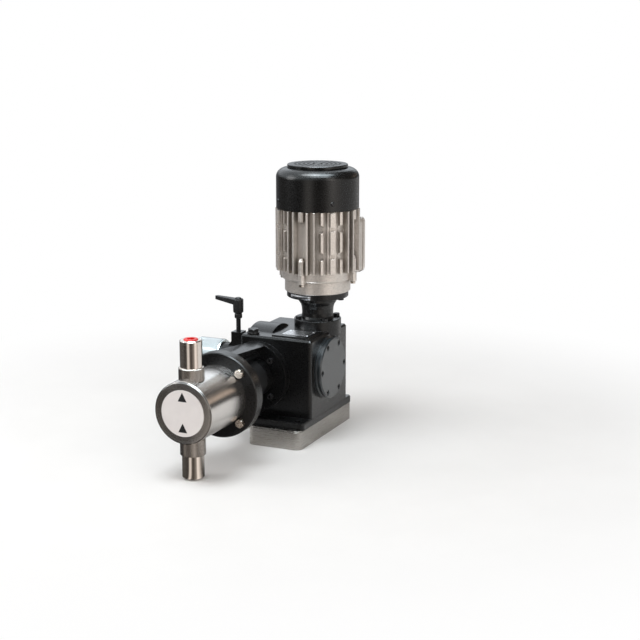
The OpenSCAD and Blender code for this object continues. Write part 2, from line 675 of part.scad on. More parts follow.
// Pump head: turned stainless cylinder with a stepped flange, plunger bore and two valve pockets
pocket_r = 14;
pocket_l = 17;
module pump_head() color([0.75, 0.72, 0.68]) {
  hr = head_d / 2;
  l = head_front - ring_front;
  difference() {
    translate([-plunger_x, -head_front, plunger_z]) rotate([-90, 0, 0]) rotate_extrude() polygon([[0, 0],
      [hr - 2, 0],
      [hr, 2], [hr, l + ring_t - 6], [head_flange_r, l + ring_t - 6], [head_flange_r, l + ring_t],
        [0, l + ring_t]]);
    rod_y(-plunger_x, plunger_z, -ring_front - pack_depth, -ring_front + ring_t + 1, pack_r);
    rod_y(-plunger_x, plunger_z, -plunger_tip - 5, -ring_front - pack_depth + 1, plunger_d / 2 + 0.4);
    rod_z(-plunger_x, valve_y, head_z0 - 1, head_z1 + 1, 9);
    rod_z(-plunger_x, valve_y, head_z1 - pocket_l, head_z1 + 1, pocket_r);
    rod_z(-plunger_x, valve_y, head_z0 - 1, head_z0 + pocket_l, pocket_r);
    for (z = [head_z0 - 1, head_z1 - 3]) rod_z(-plunger_x, valve_y, z, z + 4, collar_d / 2 + 1);
  }
}
module head_label() color("white") {
  rod_y(-plunger_x, plunger_z, -head_front - 0.8, -head_front, 36.5);
}

// Valve fittings: collar, sleeve, ball chamber, guide cage and port bore
port_r = 11.3;
chamber_r = ball_d / 2 + 2.2;
seat_h = 6;
seat_bore = 5.5;
ball_seat = sqrt(ball_d * ball_d / 4 - seat_bore * seat_bore);
discharge_seat_z = head_z1 - pocket_l;
suction_seat_z = head_z0 - 12;
module cage_holes(z0, z1) {
  for (k = [0:5]) rod_z(-plunger_x + 6.2 * cos(60 * k), valve_y + 6.2 * sin(60 * k), z0, z1, 2.2);
}
module discharge_fitting() color([0.78, 0.74, 0.68]) {
  top = plunger_z + valve_reach;
  cage = discharge_seat_z + seat_h + ball_seat + ball_d / 2 + ball_lift + 0.2;
  difference() {
    translate([-plunger_x, valve_y, 0]) rotate_extrude() polygon([[0, discharge_seat_z],
      [pocket_r - 0.02, discharge_seat_z],
      [pocket_r - 0.02, head_z1 - 3], [collar_d / 2, head_z1 - 3], [collar_d / 2, head_z1 + collar_out - 1],
      [collar_d / 2 - 1, head_z1 + collar_out], [sleeve_d / 2, head_z1 + collar_out],
      [sleeve_d / 2, top - 1.5], [sleeve_d / 2 - 1.5, top], [0, top]]);
    rod_z(-plunger_x, valve_y, discharge_seat_z - 1, discharge_seat_z + seat_h, pocket_r - 2);
    rod_z(-plunger_x, valve_y, discharge_seat_z + seat_h - 1, cage, chamber_r);
    cage_holes(cage - 1, cage + 5);
    rod_z(-plunger_x, valve_y, cage + 4, top + 1, port_r);
  }
}
module suction_fitting() color([0.78, 0.74, 0.68]) {
  low = plunger_z - valve_reach;
  cage = suction_seat_z + seat_h + ball_seat + ball_d / 2 + ball_lift + 0.2;
  difference() {
    translate([-plunger_x, valve_y, 0]) rotate_extrude() polygon([[0, low], [sleeve_d / 2 - 1.5, low],
      [sleeve_d / 2, low + 1.5], [sleeve_d / 2, head_z0 - collar_out - 6.6],
        [collar_d / 2 - 1, head_z0 - collar_out - 6.6],
      [collar_d / 2, head_z0 - collar_out - 5.6], [collar_d / 2, head_z0 + 3],
        [pocket_r - 0.02, head_z0 + 3],
      [pocket_r - 0.02, head_z0 + pocket_l], [0, head_z0 + pocket_l]]);
    rod_z(-plunger_x, valve_y, suction_seat_z, suction_seat_z + seat_h, pocket_r - 2);
    rod_z(-plunger_x, valve_y, suction_seat_z + seat_h - 0.01, cage, chamber_r);
    cage_holes(cage - 1, head_z0 + pocket_l + 1);
    rod_z(-plunger_x, valve_y, low - 1, suction_seat_z, pocket_r - 1.6);
  }
}
module valve_seats() color([0.8, 0.8, 0.8]) {
  for (z = [discharge_seat_z, suction_seat_z]) translate([-plunger_x, valve_y, z])
    ring(pocket_r - 2.02, seat_bore, seat_h);
}
module valve_ball(z) { translate([-plunger_x, valve_y, z + seat_h + ball_seat + 0.02]) sphere(d = ball_d); }
module discharge_ball() color("lightgray") { valve_ball(discharge_seat_z); }
module suction_ball() color("lightgray") { valve_ball(suction_seat_z); }
module port_plug() color("crimson") {
  top = plunger_z + valve_reach;
  difference() {
    translate([-plunger_x, valve_y, top - 9]) rotate_extrude() polygon([[0, 0], [port_r - 0.8, 0],
      [port_r - 0.05, 1.5],
      [port_r - 0.05, 9.6], [port_r - 0.8, 10.4], [0, 10.4]]);
    rod_z(-plunger_x, valve_y, top - 1.5, top + 3, 6);
  }
}

// Motor adapter with its concave neck
module motor_adapter() color([0.08, 0.08, 0.09]) {
  difference() {
    translate([worm_x, worm_y, boss_top]) rotate_extrude() polygon([[20, 0], [boss_r - 0.1, 0],
      [boss_r - 0.1, 15], [boss_r - 1.1, 16], [28.4, 16], [27, 20], [26.5, 26], [27, 34], [28.5, 40],
        [32.5, 46],
      [33, 50], [35.5, 53.5], [36, 54], [flange71_d / 2 - 1, 54], [flange71_d / 2, 55],
        [flange71_d / 2, adapter_h], [35, adapter_h],
      [35, adapter_h - 3], [20, adapter_h - 3]]);
    adapter_holes(boss_top - 1, boss_top + 17, 3.3);
    for (k = [0:3]) rod_z(worm_x + motor_bolt_r * cos(90 * k), worm_y + motor_bolt_r * sin(90 * k),
      motor_z - 11, motor_z + 1, 3.3);
  }
}
module adapter_bolts() color([0.1, 0.1, 0.1]) {
  for (k = [0:3]) translate([worm_x + adapter_bolt_r * cos(45 + 90 * k),
    worm_y + adapter_bolt_r * sin(45 + 90 * k), boss_top + 16]) {
    hex_head(10, 4.6);
    translate([0, 0, -26]) cylinder(h = 26.5, r = 2.45);
  }
  for (k = [0:3]) translate([worm_x + motor_bolt_r * cos(90 * k), worm_y + motor_bolt_r * sin(90 * k),
    motor_z - 10]) {
    mirror([0, 0, 1]) hex_head(10, 4.4);
    cylinder(h = 16, r = 2.95);
  }
}
module coupling_hubs() color("silver") {
  for (s = [0, 1]) translate([worm_x, worm_y, boss_top + (s == 0 ? 12 : 56)]) mirror([0, 0, s]) {
    ring(16, motor_shaft_d / 2 + 0.02, 16);
    for (k = [0:1]) rotate([0, 0, 180 * k + 90 * s]) translate([0, 0, 16]) intersection() {
      ring(16, motor_shaft_d / 2 + 2.4, 10);
      translate([0, -4, 0]) cube([17, 8, 10]);
    }
  }
}
module coupling_spider() color("orangered") {
  translate([worm_x, worm_y, boss_top + 28.4]) difference() {
    union() {
      for (k = [0:3]) rotate([0, 0, 45 + 90 * k]) translate([4, -2.4, 0.2]) cube([11.5, 4.8, 10.8]);
      cylinder(h = 11.2, r = 7.4);
    }
    translate([0, 0, -1]) cylinder(h = 14, r = 5);
  }
}

// Motor: finned frame on the front end shield, held by four tie bolts
bearing_pocket = 12;
stack_z = frame_z + 20;
stack_l = frame_l - 43;
winding_h = 12;
rotor_r = 34;
tie_r = (frame_d + fin_d) / 4 - 1.5;
module tie_holes(z0, z1, r) {
  for (k = [0:3]) rod_z(worm_x + tie_r * cos(90 * k), worm_y + tie_r * sin(90 * k), z0, z1, r);
}
module front_end_shield() color([0.72, 0.7, 0.67]) {
  fr = frame_d / 2;
  lug_r = fin_d / 2 - 1.5;
  difference() {
    union() {
      translate([worm_x, worm_y, motor_z]) rotate_extrude() polygon([[20, -2.5], [34.9, -2.5], [34.9, 0],
        [fr - 7, 0], [fr - 5.5, 1.5], [fr - 5.5, 20], [fr - 1.5, 22], [fr, 24], [fr, shield_h],
          [fr - 5, shield_h], [fr - 7, 14],
        [26, 10], [23, 24], [20, 24]]);
      for (k = [0:3]) translate([worm_x, worm_y, motor_z]) rotate([0, 0, 90 * k]) {
        translate([0, 0, 20]) linear_extrude(shield_h - 20) polygon([[fr - 6, -5.5], [lug_r - 3, -5.5],
          [lug_r, -2.5], [lug_r, 2.5], [lug_r - 3, 5.5], [fr - 6, 5.5]]);
      }
    }
    rod_z(worm_x, worm_y, motor_z - 3, motor_z + 30, 12);
    rod_z(worm_x, worm_y, motor_z + bearing_pocket, motor_z + 30, small_bearing_r);
    for (k = [0:3]) rod_z(worm_x + motor_bolt_r * cos(90 * k), worm_y + motor_bolt_r * sin(90 * k),
      motor_z - 1, motor_z + 9, 3);
    tie_holes(motor_z + 19, frame_z + 1, 2.6);
  }
}
module fin(a, r1) {
  rotate([0, 0, a]) translate([frame_d / 2 - 1, -fin_t / 2, 1]) cube([r1 - frame_d / 2 + 1, fin_t, frame_l
    - 2]);
}
notch_z = [31, 76.6];
module corner_pad() {
  fr = frame_d / 2;
  face = fin_d / 2 - 6;
  difference() {
    union() {
      translate([fr - 6, -pad_w / 2, 1]) cube([face - fr + 6, pad_w, frame_l - 2]);
      translate([fr - 1, -4, 2]) cube([fin_d / 2 - fr + 1, 8, frame_l - 4]);
    }
    for (z = notch_z, s = [-1, 1]) translate([fr - 4, s * pad_w / 2, z]) rotate([0, 90, 0])
      cylinder(h = 20, r = 7, $fn = 8);
    for (s = [-1, 1]) translate([fr + 3, s * 11, -1]) cylinder(h = frame_l + 2, r = 4);
    for (z = notch_z) translate([face + 1.5, -5, z - 3.5]) cube([9, 10, 7]);
  }
}
module motor_frame() color([0.76, 0.74, 0.71]) {
  fr = frame_d / 2;
  difference() {
    translate([worm_x, worm_y, frame_z]) {
      cylinder(h = frame_l, r = fr);
      for (q = [0:3], s = [-1, 1], a = [10, 19.5]) fin(90 * q + s * a, fin_d / 2 - (a > 15 ? 1 : 0));
      for (q = [0:3]) rotate([0, 0, 45 + 90 * q]) corner_pad();
      for (q = [0:3]) rotate([0, 0, 90 * q]) {
        translate([fr - 3, -4, 0.6]) cube([tie_r - fr + 3, 8, 21]);
        translate([tie_r, 0, 0.3]) cylinder(h = 22, r = 5);
        translate([tie_r, 0, 22.3]) cylinder(h = 5, r1 = 5, r2 = 2.8);
        translate([fr - 3, -4, frame_l - 16]) cube([tie_r - fr + 3, 8, 15]);
        translate([tie_r, 0, frame_l - 16.5]) cylinder(h = 16, r = 5);
      }
      translate([-tbox_w / 2 + 5, fr - 12, 4])
        cube([tbox_w - 10, (fin_d - frame_d) / 2 + 12, tbox_h - tbox_drop - 8]);
    }
    rod_z(worm_x, worm_y, frame_z - 1, cowl_z + 1, fr - 5);
    tie_holes(frame_z - 1, frame_z + 24, 2.6);
    rod_y(worm_x, frame_z + 44, worm_y + fr - 14, tbox_y0 + 1, 12);
  }
}
module tie_bolts() color("silver") {
  for (k = [0:3]) translate([worm_x + tie_r * cos(90 * k), worm_y + tie_r * sin(90 * k), motor_z + 16]) {
    hex_head(8, 4);
    cylinder(h = shield_h + 6, r = 2.5);
  }
}
module stator() color([0.35, 0.33, 0.32]) {
  fr = frame_d / 2;
  translate([worm_x, worm_y, stack_z]) difference() {
    cylinder(h = stack_l, r = fr - 5.02);
    translate([0, 0, -1]) cylinder(h = stack_l + 2, r = rotor_r + slack);
  }
  color([0.72, 0.4, 0.2]) for (z = [stack_z - winding_h, stack_z + stack_l])
    translate([worm_x, worm_y, z]) ring(fr - 9, rotor_r + 3, winding_h);
}
module rotor_shaft() color([0.6, 0.6, 0.62]) {
  sr = motor_shaft_d / 2;
  rod_z(worm_x, worm_y, boss_top + 41, motor_z + bearing_pocket, sr);
  rod_z(worm_x, worm_y, motor_z + bearing_pocket, motor_z + bearing_pocket + small_bearing_w,
    worm_shaft_d / 2);
  rod_z(worm_x, worm_y, motor_z + bearing_pocket + small_bearing_w, cowl_z - 1, 12);
  rod_z(worm_x, worm_y, stack_z, stack_z + stack_l, rotor_r);
  rod_z(worm_x, worm_y, cowl_z - 1, cowl_z + 10, worm_shaft_d / 2);
  rod_z(worm_x, worm_y, cowl_z + 10, cowl_z + 46, sr - 1);
}
module motor_bearings() color("lightsteelblue") {
  for (z = [motor_z + bearing_pocket, cowl_z - 1])
    translate([worm_x, worm_y, z]) bearing(small_bearing_r - 0.01, worm_shaft_d / 2 + run, small_bearing_w);
}
module rear_end_shield() color([0.72, 0.7, 0.67]) {
  fr = frame_d / 2;
  difference() {
    union() {
      translate([worm_x, worm_y, cowl_z]) rotate_extrude() polygon([[12.5, 10], [12.5, 13], [26, 13],
        [30, 7], [fr, 5],
        [fr, 0], [fr - 6, 0], [fr - 8, 2], [26, 3], [23, -1], [small_bearing_r, -1],
          [small_bearing_r, 10]]);
      for (k = [0:3]) translate([worm_x, worm_y, cowl_z]) rotate([0, 0, 90 * k]) {
        translate([fr - 3, -4, 0]) cube([tie_r - fr + 3, 8, 5]);
        translate([tie_r - 1.5, 0, 0]) cylinder(h = 5, r = 4);
      }
      for (k = [0:3]) translate([worm_x, worm_y, cowl_z]) rotate([0, 0, 45 + 90 * k])
        translate([fr - 3, -6, 0]) cube([cowl_d / 2 - fr + 0.9, 12, 18]);
    }
    for (k = [0:3]) translate([worm_x, worm_y, cowl_z + 13.5]) rotate([0, 0, 45 + 90 * k])
      rod_x(0, 0, fr - 6, cowl_d / 2 + 1, 2);
  }
}
module fan() color([0.15, 0.15, 0.16]) {
  translate([worm_x, worm_y, fan_z]) difference() {
    union() {
      cylinder(h = 24, r = 12);
      translate([0, 0, 0.5]) cylinder(h = 2.5, r = 40);
      for (k = [0:6]) rotate([0, 0, 360 / 7 * k]) translate([10, -1.2, 1]) cube([46, 2.4, 21]);
    }
    translate([0, 0, -1]) cylinder(h = 30, r = motor_shaft_d / 2 - 1 + 0.01);
    translate([0, 0, 13]) ring(60, 50, 10);
  }
}
// Fan cowl: drawn steel cup with a slotted cap
module fan_cowl() color([0.05, 0.05, 0.055]) {
  cr = cowl_d / 2;
  cap_r = cap_d / 2;
  t = 1.8;
  shoulder = cowl_h - 20.5;
  neck = cap_r - 2.6;
  sr = cr - neck;
  difference() {
    translate([worm_x, worm_y, cowl_z]) rotate_extrude() polygon(concat([[cr, 0]],
      [for (k = [0:8]) let (a = 90 / 8 * k) [neck + sr * pow(cos(a), 0.75), shoulder + 15 * pow(sin(a),
        1.15)]],
      [[neck, cowl_h - 4.5], [cap_r, cowl_h - 4], [cap_r, cowl_h - 1], [cap_r - 1, cowl_h], [0, cowl_h],
        [0, cowl_h - 2.6],
      [cap_r - 4.6, cowl_h - 2.6], [neck - t, cowl_h - 5]],
      [for (k = [8:-1:0]) let (a = 90 / 8 * k) [neck - t + sr * pow(cos(a), 0.75),
        shoulder - t + 15 * pow(sin(a), 1.15)]],
      [[cr - t, 0]]));
    translate([worm_x, worm_y, top_z - 4]) {
      for (row = [1:4]) let (r0 = 7 + row * 7.2, n = 6 * row + 2, slot = 360 / n * 0.62)
        for (k = [0:n - 1]) rotate([0, 0, 360 / n * (k + 0.5 * (row % 2))]) rotate_extrude(angle = slot)
          translate([r0, 0]) square([4.2, 6]);
    }
    translate([worm_x, worm_y, top_z - 1.4]) difference() {
      cylinder(h = 2, r = 9);
      translate([0, 0, -1]) cylinder(h = 4, r = 6.4, $fn = 6);
    }
    for (k = [0:3]) translate([worm_x, worm_y, cowl_z + 13.5]) rotate([0, 0, 45 + 90 * k])
      rod_x(0, 0, cr - 4, cr + 1, 2.3);
  }
}
module cowl_screws() color([0.2, 0.2, 0.2]) {
  for (k = [0:3]) translate([worm_x, worm_y, cowl_z + 13.5]) rotate([0, 0, 45 + 90 * k]) {
    rod_x(0, 0, cowl_d / 2, cowl_d / 2 + 2, 3.8, 2.6);
    rod_x(0, 0, cowl_d / 2 - 8, cowl_d / 2 + 0.1, 1.95);
  }
}
tbox_z = frame_z - tbox_drop;
tbox_lid_t = 10;
tbox_y0 = worm_y + fin_d / 2;
tbox_split = tbox_y0 + tbox_reach - tbox_lid_t;
gland_y = tbox_y0 + 12.5;
gland_z = tbox_z + 30;
module tbox_outline(grow) { round_rect(tbox_w + 2 * grow, tbox_h + 2 * grow, 9 + grow); }
module terminal_box() color([0.74, 0.72, 0.69]) {
  difference() {
    union() {
      translate([worm_x, tbox_y0, tbox_z + tbox_h / 2]) rotate([-90, 0, 0])
        linear_extrude(tbox_split - tbox_y0) tbox_outline(0);
      rod_x(gland_y, gland_z, worm_x - tbox_w / 2 - 3, worm_x - tbox_w / 2 + 4, 12);
    }
    translate([worm_x, tbox_y0 + 3, tbox_z + tbox_h / 2]) rotate([-90, 0, 0]) linear_extrude(60)
      tbox_outline(-3);
    rod_x(gland_y, gland_z, worm_x - tbox_w / 2 - 5, worm_x - tbox_w / 2 + 8, 9);
    rod_y(worm_x, frame_z + 44, tbox_y0 - 1, tbox_y0 + 4, 12);
  }
  for (sx = [-1, 1], sz = [-1, 1]) difference() {
    rod_y(worm_x + sx * (tbox_w / 2 - 8), tbox_z + tbox_h / 2 + sz * (tbox_h / 2 - 8),
      tbox_y0 + 2, tbox_split, 5);
    rod_y(worm_x + sx * (tbox_w / 2 - 8), tbox_z + tbox_h / 2 + sz * (tbox_h / 2 - 8),
      tbox_split - 12, tbox_split + 1, 2);
  }
}
module terminal_lid() color([0.74, 0.72, 0.69]) {
  difference() {
    union() {
      translate([worm_x, tbox_split, tbox_z + tbox_h / 2]) rotate([-90, 0, 0])
        linear_extrude(tbox_lid_t - 2.5) tbox_outline(1);
      translate([worm_x, tbox_split + tbox_lid_t - 2.5, tbox_z + tbox_h / 2]) rotate([-90, 0, 0])
        linear_extrude(2.5) tbox_outline(-1);
    }
    for (sx = [-1, 1], sz = [-1, 1])
      rod_y(worm_x + sx * (tbox_w / 2 - 8), tbox_z + tbox_h / 2 + sz * (tbox_h / 2 - 8),
        tbox_split - 1, tbox_split + 12, 2.4);
  }
}
module terminal_screws() color("silver") {
  for (sx = [-1, 1], sz = [-1, 1]) translate([worm_x + sx * (tbox_w / 2 - 8),
    tbox_split + tbox_lid_t, tbox_z + tbox_h / 2 + sz * (tbox_h / 2 - 8)])
    rotate([-90, 0, 0]) {
      cap_head(7, 3.5, 3);
      translate([0, 0, -20]) cylinder(h = 20.5, r = 1.95);
    }
}
module cable_gland() color([0.85, 0.78, 0.6]) {
  x1 = worm_x - tbox_w / 2 - 3;
  translate([x1, gland_y, gland_z]) rotate([0, -90, 0]) difference() {
    union() {
      cylinder(h = 5, d = 22 / cos(30), $fn = 6);
      translate([0, 0, -7]) cylinder(h = 8, r = 8.95);
      translate([0, 0, 5]) cylinder(h = 3, r = 10);
      translate([0, 0, 8]) cylinder(h = 10, d = 21 / cos(30), $fn = 6);
      translate([0, 0, 18]) cylinder(h = 4, r1 = 10.4, r2 = 8);
    }
    translate([0, 0, -8]) cylinder(h = 32, r = 5);
  }
}

// Stroke adjuster on the left of the housing
module adjuster_sleeve() color([0.08, 0.08, 0.09]) {
  ar = adj_d / 2;
  x0 = -box_left - adj_l;
  difference() {
    union() {
      translate([-box_left, adj_y, wheel_z]) rotate([0, -90, 0]) rotate_extrude() polygon([[0, 0],
        [40, 0], [40, 5],
        [38.5, 7], [ar + 6, 9], [ar + 2, 16], [ar, 24], [ar, adj_l - 1], [ar - 1, adj_l], [0, adj_l]]);
      slab(lever_x - lug_w / 2, lever_x + lug_w / 2, adj_y - 10, adj_y + 10, wheel_z, lug_top);
      translate([lever_x, adj_y, wheel_z + ar - 3]) rotate([90, 0, 0]) translate([0, 0, -10])
        linear_extrude(20)
        polygon([[-lug_w / 2 - 7, 0], [lug_w / 2 + 6, 0], [lug_w / 2, 9], [-lug_w / 2, 9]]);
    }
    rod_x(adj_y, wheel_z, -box_left - adj_l - 1, -box_left + 1, adj_bore);
    sleeve_holes(-box_left - 11, -box_left + 1, 2.3);
    sleeve_holes(-box_left - 20, sleeve_screw_x, 3.8);
    rod_z(lever_x, adj_y, wheel_z + 10, lug_top + 1, 4);
    slab(-box_left - adj_l - 1, lever_x + lug_w / 2 + 1, adj_y - 0.9, adj_y + 0.9, wheel_z + 12,
      wheel_z + ar + 2);
  }
}
module adjuster_screws() color("dimgray") {
  for (k = [0:3]) translate([sleeve_screw_x, adj_y + sleeve_pcd_r * cos(45 + 90 * k),
    wheel_z + sleeve_pcd_r * sin(45 + 90 * k)])
    rotate([0, -90, 0]) {
      cap_head(7, 4, 3);
      translate([0, 0, -12]) cylinder(h = 12.5, r = 1.95);
    }
}
// Non-turning pin with the cone that limits the return of the crosshead
module stop_cone() color("silver") {
  rod_x(adj_y, wheel_z, cone_tip - cone_l, cone_tip, pin_r, 2);
  rod_x(adj_y, wheel_z, pin_end, cone_tip - cone_l, pin_r);
  rod_x(adj_y, wheel_z, -box_left - adj_l + 16, -box_left - 4, adj_bore - run);
}
// Knob: dark index ring, graduated barrel with finger knurls at its end
module stroke_knob() color([0.82, 0.83, 0.84]) {
  br = barrel_d / 2;
  difference() {
    union() {
      rod_x(adj_y, wheel_z, knob_face, knob_face + 2.6, br - 0.6, br - 1.4);
      rod_x(adj_y, wheel_z, knob_end + 2, knob_face, br);
      rod_x(adj_y, wheel_z, knob_end, knob_end + 2, br - 2, br);
    }
    rod_x(adj_y, wheel_z, knob_face - 14 - adj_travel, knob_face + 5, adj_d / 2 + gap);
    rod_x(adj_y, wheel_z, pin_end - gap, knob_face, pin_r + run);
    for (k = [0:23]) rotate_about_wheel(15 * k) rod_x(0, br + 1.2, knob_end - 1, knob_end + 16, 2.2);
    rod_x(adj_y, wheel_z, knob_end - 1, knob_end + 1, 14);
  }
}
module rotate_about_wheel(a) { translate([0, adj_y, wheel_z]) rotate([a, 0, 0]) children(); }
module clamp_stud() color([0.2, 0.2, 0.21]) {
  rod_z(lever_x, adj_y, lug_top - 22, lever_z + 4, 3.95);
}
module clamp_lever() color([0.06, 0.06, 0.065]) {
  z0 = lever_z;
  difference() {
    union() {
      translate([lever_x, adj_y, z0]) rotate_extrude() polygon([[0, 0], [5.6, 0], [6.6, 1.5], [6.6, 6],
        [6, 8.5],
        [8.8, 11], [9, 20], [9, lever_h - 2], [8, lever_h], [0, lever_h]]);
      hull() {
        translate([lever_x, adj_y, z0 + 24]) cylinder(h = 9, r = 8.6, $fn = 32);
        translate([lever_x - lever_l + 4, adj_y, z0 + 30]) cylinder(h = 6, r = 4, $fn = 32);
      }
    }
    rod_z(lever_x, adj_y, z0 - 1, z0 + 12, 3.96);
    rod_z(lever_x, adj_y, button_z - 2.4, z0 + lever_h + 2, 5.4);
  }
}
module lever_button() color([0.1, 0.1, 0.11]) {
  translate([lever_x, adj_y, button_z]) {
    cylinder(h = 5, r = 5.3);
    translate([0, 0, 5]) cylinder(h = 1, r1 = 5.3, r2 = 4.3);
  }
}

base_tray();
gearbox_housing();
side_cover();
side_cover_screws();
nameplate();
oil_filler_plug();
oil_drain_plug();
oil_sight_glass();
worm_shaft();
worm_wheel();
eccentric_shaft();
shaft_bearings();
worm_bearings();
crosshead();
guide_bush();
spring_plate();
return_spring();
spring_cover();
plunger();
packing_rings();
gland_follower();
lantern();
lantern_screws();
head_clamp_ring();
head_bolts();
pump_head();
head_label();
discharge_fitting();
suction_fitting();
valve_seats();
discharge_ball();
suction_ball();
port_plug();
motor_adapter();
adapter_bolts();
coupling_hubs();
coupling_spider();
front_end_shield();
motor_frame();
tie_bolts();
stator();
rotor_shaft();
motor_bearings();
rear_end_shield();
fan();
fan_cowl();
cowl_screws();
terminal_box();
terminal_lid();
terminal_screws();
cable_gland();
adjuster_sleeve();
adjuster_screws();
stop_cone();
stroke_knob();
clamp_stud();
clamp_lever();
lever_button();
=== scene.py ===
"""Looks of the dosing pump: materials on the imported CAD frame, small printed and riveted details, studio."""

import json
import math

import bmesh
import bpy
from mathutils import Matrix, Vector

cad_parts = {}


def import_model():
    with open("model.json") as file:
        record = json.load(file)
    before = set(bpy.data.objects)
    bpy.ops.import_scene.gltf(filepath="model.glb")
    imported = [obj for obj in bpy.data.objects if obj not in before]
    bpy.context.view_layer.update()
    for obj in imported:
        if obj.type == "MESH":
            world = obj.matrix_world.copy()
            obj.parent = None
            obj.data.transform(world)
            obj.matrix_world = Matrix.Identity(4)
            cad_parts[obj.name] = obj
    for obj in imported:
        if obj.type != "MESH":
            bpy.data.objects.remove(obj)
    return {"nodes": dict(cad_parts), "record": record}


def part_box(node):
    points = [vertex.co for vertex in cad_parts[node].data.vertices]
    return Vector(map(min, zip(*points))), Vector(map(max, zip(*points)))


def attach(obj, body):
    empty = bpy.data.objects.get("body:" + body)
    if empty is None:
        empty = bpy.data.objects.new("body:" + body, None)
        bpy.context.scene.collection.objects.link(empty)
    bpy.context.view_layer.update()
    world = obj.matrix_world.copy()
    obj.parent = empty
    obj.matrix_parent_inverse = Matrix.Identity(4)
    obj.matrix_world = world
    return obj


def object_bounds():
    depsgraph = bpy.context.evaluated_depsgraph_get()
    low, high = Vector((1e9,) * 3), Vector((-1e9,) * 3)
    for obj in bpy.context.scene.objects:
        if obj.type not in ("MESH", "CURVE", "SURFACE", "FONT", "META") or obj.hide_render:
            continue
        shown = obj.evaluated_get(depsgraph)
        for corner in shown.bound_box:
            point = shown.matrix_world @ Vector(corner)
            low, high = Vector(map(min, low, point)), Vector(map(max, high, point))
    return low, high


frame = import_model()
cad_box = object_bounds()
record = frame["record"]
nodes = frame["nodes"]

# Places shared with the CAD source, in metres
PLUNGER_X, PLUNGER_Z = -0.045, 0.111
VALVE_Y = -0.295
MOTOR_X, MOTOR_Y = 0.018, 0.0296
SHAFT_Y, SHAFT_Z = -0.0064, 0.119
ADAPTER_FLANGE_R = 0.0521
BETWEEN_SLEEVE_AND_COLLAR_R = 0.0182
HEAD_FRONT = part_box("pump_head")[0].y
HEAD_CHAMFER = (HEAD_FRONT + 0.0001, HEAD_FRONT + 0.0019)

ALONG_X, ALONG_Y, ALONG_Z = (1, 0, 0), (0, 1, 0), (0, 0, 1)
HEAD_AXIS = (PLUNGER_X, 0, PLUNGER_Z)
VALVE_AXIS = (PLUNGER_X, VALVE_Y, 0)
KNOB_AXIS = (0, SHAFT_Y, SHAFT_Z)
MOTOR_AXIS = (MOTOR_X, MOTOR_Y, 0)


# ---------------------------------------------------------------- shader graphs
def times(colour, factor):
    """A colour made darker or lighter."""
    return tuple(min(1.0, c * factor) for c in colour)


class Graph:
    """A node tree with short calls for the nodes used here. Its value here is the place that is shaded."""

    def __init__(self, tree, place):
        self.tree = tree
        self.here = self.add("ShaderNodeTexCoord").outputs[place]

    def add(self, kind, **settings):
        node = self.tree.nodes.new(kind)
        for key, value in settings.items():
            setattr(node, key, value)
        return node

    def link(self, value, socket):
        if hasattr(value, "links"):
            self.tree.links.new(value, socket)
        else:
            socket.default_value = value

    def math(self, operation, a, b=0.0, clamp=False):
        node = self.add("ShaderNodeMath", operation=operation, use_clamp=clamp)
        self.link(a, node.inputs[0])
        self.link(b, node.inputs[1])
        return node.outputs[0]

    def vector(self, operation, a, b=(0, 0, 0)):
        node = self.add("ShaderNodeVectorMath", operation=operation)
        self.link(a, node.inputs[0])
        self.link(b, node.inputs[1])
        return node.outputs["Value" if operation in ("LENGTH", "DOT_PRODUCT") else "Vector"]

    def along(self, axis, place=None):
        """How far a place lies along an axis."""
        return self.vector("DOT_PRODUCT", place or self.here, axis)

    def off_axis(self, axis, place):
        """How far a place lies from an axis through zero."""
        return self.vector("LENGTH", self.vector("MULTIPLY", place, tuple(1 - abs(a) for a in axis)))

    def remap(self, value, lo, hi, out_lo=0.0, out_hi=1.0, shape="SMOOTHSTEP"):
        node = self.add("ShaderNodeMapRange", interpolation_type=shape)
        self.link(value, node.inputs["Value"])
        for socket, number in zip(("From Min", "From Max", "To Min", "To Max"), (lo, hi, out_lo, out_hi)):
            node.inputs[socket].default_value = number
        return node.outputs["Result"]

    def noise(self, place, scale, detail=3.0, rough=0.55):
        node = self.add("ShaderNodeTexNoise")
        self.link(place, node.inputs["Vector"])
        node.inputs["Scale"].default_value = scale
        node.inputs["Detail"].default_value = detail
        node.inputs["Roughness"].default_value = rough
        return node.outputs["Fac"]

    def mix(self, factor, a, b):
        node = self.add("ShaderNodeMix", data_type="RGBA")
        self.link(factor, node.inputs["Factor"])
        self.link((*a, 1) if isinstance(a, tuple) else a, node.inputs["A"])
        self.link((*b, 1) if isinstance(b, tuple) else b, node.inputs["B"])
        return node.outputs["Result"]

    def ramp(self, place, stops):
        """A colour from a table of (place, colour)."""
        node = self.add("ShaderNodeValToRGB")
        while len(node.color_ramp.elements) < len(stops):
            node.color_ramp.elements.new(0.5)
        for element, (at, colour) in zip(node.color_ramp.elements, stops):
            element.position = at
            element.color = (*colour, 1)
        self.link(place, node.inputs["Fac"])
        return node.outputs["Color"]


